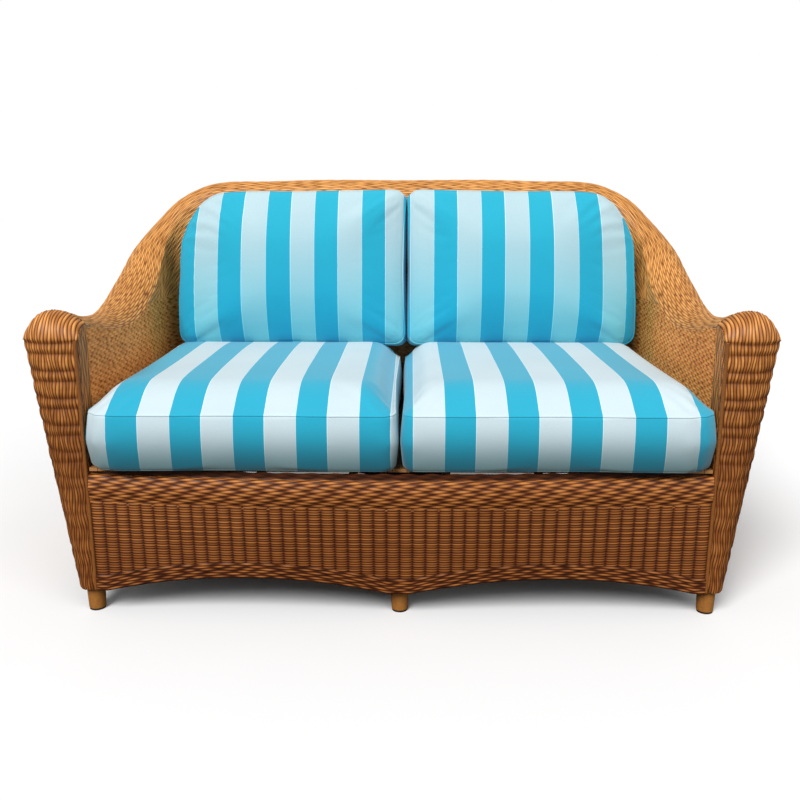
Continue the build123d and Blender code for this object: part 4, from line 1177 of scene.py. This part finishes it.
def outer_shell(node, name):
    """A copy of a cover's outside alone, as one closed skin."""
    source = bpy.data.objects[node]
    piece = source.copy()
    piece.data = source.data.copy()
    piece.name = name
    bpy.context.scene.collection.objects.link(piece)
    piece.hide_viewport = False
    piece.hide_render = False
    piece.hide_set(False)
    merge(piece, 1e-5)
    bpy.ops.object.mode_set(mode="EDIT")
    bpy.ops.mesh.separate(type="LOOSE")
    bpy.ops.object.mode_set(mode="OBJECT")
    shells = sorted(bpy.context.selected_objects, key=lambda shell: max(shell.dimensions))
    for shell in shells[:-1]:
        bpy.data.objects.remove(shell)
    shells[-1].name = name
    shells[-1].data.name = name
    return shells[-1]


def coordinates(piece):
    """A piece's vertices as an array."""
    points = np.empty(len(piece.data.vertices) * 3)
    piece.data.vertices.foreach_get("co", points)
    return points.reshape(-1, 3)


def move_to(piece, points):
    """Move a piece's vertices to new places."""
    piece.data.vertices.foreach_set("co", points.astype(np.float32).ravel())
    piece.data.update()


def keep_across(piece, values):
    """Keep each vertex's place across the cloth, for the stripes."""
    kept = piece.data.attributes.new("across", "FLOAT", "POINT")
    kept.data.foreach_set("value", values.astype(np.float32))


def smooth(value):
    """A step from nothing to one with soft ends."""
    part = np.clip(value, 0, 1)
    return part * part * (3 - 2 * part)


def apply_modifiers(piece):
    """Apply every modifier of a piece in order."""
    only(piece)
    for modifier in list(piece.modifiers):
        bpy.ops.object.modifier_apply(modifier=modifier.name)


class SOFA_OT_cushions(bpy.types.Operator):
    """Fill the four cushions, with their striped covers and sewn edges"""

    bl_idname = "sofa.cushions"
    bl_label = "Cushions"

    def execute(self, context):
        scene = context.scene
        wall, colours, form = scene.sofa_wall, scene.sofa_colours, scene.sofa_cushions
        level = Vector((0, 0, 1))
        lean = atan(wall.back_lean_out / (wall.back_height - wall.back_edge_drop - wall.seat_base))
        ahead = Vector((0, -cos(lean), sin(lean)))
        back_foot = Vector((0, wall.seat_depth - wall.front_back, wall.seat_base))
        seat_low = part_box("left_seat_cover")[0][2]
        seat_seams = [
            (Vector((0, 0, seat_low + form.seat_under)), level),
            (Vector((0, 0, seat_low + form.seat_under + form.seat_boxing)), level),
        ]
        back_seams = [
            (back_foot + ahead * form.back_under, ahead),
            (back_foot + ahead * (form.back_under + form.back_boxing), ahead),
        ]
        rows = (
            ("left_seat", seat_seams, form.left_seat_stripe, form.stripe),
            ("right_seat", seat_seams, form.right_seat_stripe, form.right_stripe),
            ("left_back", back_seams, form.left_back_stripe, form.back_stripe),
            ("right_back", back_seams, form.right_back_stripe, form.back_stripe),
        )
        for name, seams, first, stripe in rows:
            low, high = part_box(name + "_cover")
            # A stripe ends at the right side of the left seat and of the right back cushion.
            right = 0 if name in ("left_seat", "right_back") else form.side
            sides = (low[0] + form.side, high[0] - right)
            # Painted shade towards the bottom of a seat cushion's front and of a back cushion.
            deep = (low[2], seat_low + form.seat_boxing, SEAT_SHADE_TINT)
            shades = (colours.blue, colours.pale)
            if name.endswith("back"):
                deep = (low[2], high[2], BACK_SHADE_TINT)
                shades = (colours.back_blue, colours.back_pale)
            title = name.title().replace("_", " ") + " Canvas"
            lines = (colours.thread, form.stripe_line)
            cloth = striped_cloth(title, *shades, *lines, stripe, first, sides, deep)
            self.cushion(name, seams, cloth, form)
        return {"FINISHED"}

    def cushion(self, name, seams, cloth, form):
        piece = outer_shell(name + "_cover", name + "_cushion_cover")
        remesh = piece.modifiers.new("Remesh", "REMESH")
        remesh.mode = "VOXEL"
        remesh.voxel_size = form.voxel
        remesh.use_smooth_shade = True
        apply_modifiers(piece)
        self.fill(piece, seams, form)
        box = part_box(name + "_cover")
        self.draw_out(piece, name, box, form)
        finer = piece.modifiers.new("Smooth", "SUBSURF")
        finer.levels = 1
        finer.render_levels = 1
        apply_modifiers(piece)
        piece.data.materials.clear()
        piece.data.materials.append(cloth)
        body = name + "_cushion"
        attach(piece, body)
        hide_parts(name + "_cover", name + "_foam")
        radius = form.back_seam_radius if name.endswith("back") else form.seam_radius
        for number, (point, normal) in enumerate(seams):
            title = f"{name}_seam_{number + 1}"
            seam = self.seam(piece, title, point, normal, cloth, radius, form.voxel * 0.45)
            points = coordinates(seam)
            keep_across(seam, points[:, 0] - self.drawn(points, name, box, form)[:, 0])
            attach(seam, body)
            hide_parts(name + "_cover")

    def fill(self, piece, seams, form):
        """Press the cover out with its filling, held at the seams."""
        group = piece.vertex_groups.new(name="held")
        start = coordinates(piece)
        for point, normal in seams:
            away = np.abs((start - np.array(point)) @ np.array(normal))
            held = np.nonzero(away < form.voxel)[0]
            group.add([int(index) for index in held], 1.0, "ADD")
        cloth = piece.modifiers.new("Cloth", "CLOTH")
        cloth.settings.vertex_group_mass = "held"
        cloth.settings.use_pressure = True
        cloth.settings.uniform_pressure_force = form.pressure
        cloth.settings.quality = 4
        cloth.settings.tension_stiffness = form.stiffness
        cloth.settings.compression_stiffness = form.stiffness
        cloth.settings.bending_stiffness = form.stiffness / 10
        cloth.settings.effector_weights.gravity = 0
        cloth.collision_settings.use_collision = False
        cloth.point_cache.frame_start = 1
        cloth.point_cache.frame_end = form.frames
        scene = bpy.context.scene
        for number in range(1, form.frames + 1):
            scene.frame_set(number)
        apply_modifiers(piece)
        scene.frame_set(1)
        shift = coordinates(piece) - start
        size = np.linalg.norm(shift, axis=1, keepdims=True)
        move_to(piece, start + shift * form.most_shift / (form.most_shift + size))

    def draw_out(self, piece, name, box, form):
        """Draw the filled cover to the photograph's outline; the stripes go with it."""
        points = coordinates(piece)
        keep_across(piece, points[:, 0])
        move_to(piece, points + self.drawn(points, name, box, form))

    def drawn(self, points, name, box, form):
        """How far each point is drawn out: fuller crown, wider sides, rounder top corner."""
        low, high = (np.array(corner) for corner in box)
        side = -1 if name.startswith("left") else 1
        share = side * (2 * points[:, 0] - low[0] - high[0]) / (high[0] - low[0])
        outer, inner = np.clip(share, 0, 1), np.clip(-share, 0, 1)
        shift = np.zeros(points.shape)
        if name.endswith("back"):
            up = np.clip((points[:, 2] - low[2]) / (high[2] - low[2]), 0, 1)
            # The sides swell most at two fifths of the height.
            swell = np.sin(pi * (0.2 + 0.75 * up))
            shift[:, 0] = side * (form.side_swell * outer * swell - form.middle_swell * inner)
            rounding = form.corner_round * outer**8 + form.top_slope * outer**2
            shift[:, 2] = form.bottom_rise * (1 - up) + (form.top_rise - rounding) * up**3
        else:
            ahead = points[:, 1] - low[1]
            inside = smooth(np.minimum(points[:, 0] - low[0], high[0] - points[:, 0]) / CROWN_SIDE)
            inside = inside * smooth(ahead / CROWN_FRONT) * smooth((high[1] - points[:, 1]) / CROWN_REAR)
            upper = smooth((points[:, 2] - low[2] - form.seat_under - form.seat_boxing) / CROWN_SEAM)
            short = np.maximum(high[2] + form.crown_rise - points[:, 2], 0)
            shift[:, 2] = CROWN_SHARE * inside * upper * short
            shift[:, 0] = side * form.corner_fill * outer**6 * np.clip(1 - ahead / CORNER_REACH, 0, 1)
        return shift

    def seam(self, piece, name, point, normal, cloth, radius, joined):
        """A sewn edge along a plane's cut through the cover."""
        only(piece)
        bpy.ops.object.duplicate()
        line = bpy.context.active_object
        line.name = name
        line.data.name = name
        bpy.ops.object.mode_set(mode="EDIT")
        bpy.ops.mesh.select_all(action="SELECT")
        bpy.ops.mesh.bisect(plane_co=point, plane_no=normal)
        bpy.ops.mesh.select_all(action="INVERT")
        bpy.ops.mesh.delete(type="VERT")
        bpy.ops.mesh.select_all(action="SELECT")
        bpy.ops.mesh.remove_doubles(threshold=joined)
        bpy.ops.mesh.delete(type="ONLY_FACE")
        bpy.ops.object.mode_set(mode="OBJECT")
        bpy.ops.object.convert(target="CURVE")
        line = bpy.context.active_object
        line.data.bevel_depth = radius
        line.data.bevel_resolution = 2
        bpy.ops.object.convert(target="MESH")
        line = bpy.context.active_object
        line.name = name
        line.data.materials.clear()
        line.data.materials.append(cloth)
        bpy.ops.object.shade_smooth()
        return line


def plain_floor(name, shade):
    """A matt pale floor with the faintest clouds, half a metre wide."""
    made, tree, surface = blank_material(name, {"Roughness": 0.9, "Specular IOR Level": 0.0})
    place = add_node(tree, "ShaderNodeTexCoord", "Object")
    cloudy = add_node(tree, "ShaderNodeTexNoise", "Fac", {"Vector": place, "Scale": 2.0})
    pale = two_tone(tree, cloudy, shade, 0.995, 0.4, 0.6)
    # The camera sees it white, and it throws little light back on the sofa.
    inputs = {0: add_node(tree, "ShaderNodeLightPath", "Is Camera Ray")}
    inputs |= {6: [FLOOR_THROW * part for part in shade], 7: pale}
    tree.links.new(add_node(tree, "ShaderNodeMix", 2, inputs, **OVER), surface["Base Color"])
    return made


class SOFA_OT_stage(bpy.types.Operator):
    """Set up the pale floor, the soft studio light and the camera"""

    bl_idname = "sofa.stage"
    bl_label = "Studio Stage"

    def execute(self, context):
        scene = context.scene
        stage, colours = scene.sofa_stage, scene.sofa_colours
        bpy.ops.object.select_all(action="DESELECT")
        bpy.ops.mesh.primitive_plane_add(size=stage.floor_size, location=(0, 0, 0))
        floor = context.active_object
        floor.name = "studio_floor"
        floor.data.materials.append(plain_floor("Studio Floor", colours.floor))
        self.light("Key", stage.key_strength, stage.key_turn, stage.key_spread)
        self.light("Fill", stage.fill_strength, stage.fill_turn, stage.fill_spread)
        self.sky(scene, stage)
        bpy.ops.object.camera_add(location=stage.camera_place)
        camera = context.active_object
        camera.name = "Studio Camera"
        camera.rotation_euler = stage.camera_turn
        camera.data.lens = stage.lens
        scene.camera = camera
        scene.view_settings.view_transform = "Standard"
        return {"FINISHED"}

    def light(self, name, strength, turn, spread):
        """A soft sun."""
        bpy.ops.object.light_add(type="SUN", location=(0, 0, 2))
        lamp = bpy.context.active_object
        lamp.name = name
        lamp.rotation_euler = turn
        lamp.data.energy = strength
        lamp.data.angle = spread

    def sky(self, scene, stage):
        """A soft even sky that the camera sees as pure white."""
        world = bpy.data.worlds.new("Studio")
        scene.world = world
        world.use_nodes = True
        tree = world.node_tree
        soft = tree.nodes["Background"]
        soft.inputs["Strength"].default_value = stage.sky_strength
        soft.inputs["Color"].default_value = (1, 1, 1, 1)
        seen = add_node(tree, "ShaderNodeBackground", 0, {"Strength": 1.0, "Color": (1, 1, 1)})
        path = add_node(tree, "ShaderNodeLightPath", "Is Camera Ray")
        inputs = {0: path, 1: soft.outputs[0], 2: seen}
        mix = add_node(tree, "ShaderNodeMixShader", 0, inputs)
        tree.links.new(mix, tree.nodes["World Output"].inputs["Surface"])


class SOFA_PT_panel(bpy.types.Panel):
    """Steps and settings of the rattan sofa"""

    bl_idname = "SOFA_PT_panel"
    bl_label = "Rattan Sofa"
    bl_space_type = "VIEW_3D"
    bl_region_type = "UI"
    bl_category = "Rattan Sofa"

    def draw(self, context):
        for item in OPERATORS:
            self.layout.operator(item.bl_idname)
        for name in GROUPS:
            box = self.layout.box()
            group = getattr(context.scene, name)
            for key in group.bl_rna.properties.keys():
                if key not in ("rna_type", "name"):
                    box.prop(group, key)


OPERATORS = (
    SOFA_OT_walls,
    SOFA_OT_arm_fronts,
    SOFA_OT_skirt,
    SOFA_OT_feet,
    SOFA_OT_edge_strips,
    SOFA_OT_seat_frame,
    SOFA_OT_cushions,
    SOFA_OT_stage,
)

GROUPS = {
    "sofa_wall": WallForm,
    "sofa_skirt": SkirtForm,
    "sofa_weave": WeaveForm,
    "sofa_feet": FootForm,
    "sofa_cushions": CushionForm,
    "sofa_colours": SofaColours,
    "sofa_stage": StageForm,
}


def register():
    for item in (*GROUPS.values(), *OPERATORS, SOFA_PT_panel):
        bpy.utils.register_class(item)
    for name, group in GROUPS.items():
        setattr(bpy.types.Scene, name, PointerProperty(type=group))


def unregister():
    for name in GROUPS:
        delattr(bpy.types.Scene, name)
    for item in (SOFA_PT_panel, *reversed(OPERATORS), *reversed(GROUPS.values())):
        bpy.utils.unregister_class(item)


def main():
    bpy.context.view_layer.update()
    register()
    bpy.ops.sofa.walls()
    bpy.ops.sofa.arm_fronts()
    bpy.ops.sofa.skirt()
    bpy.ops.sofa.feet()
    bpy.ops.sofa.edge_strips()
    bpy.ops.sofa.seat_frame()
    bpy.ops.sofa.cushions()
    bpy.ops.sofa.stage()


if __name__ == "__main__":
    main()
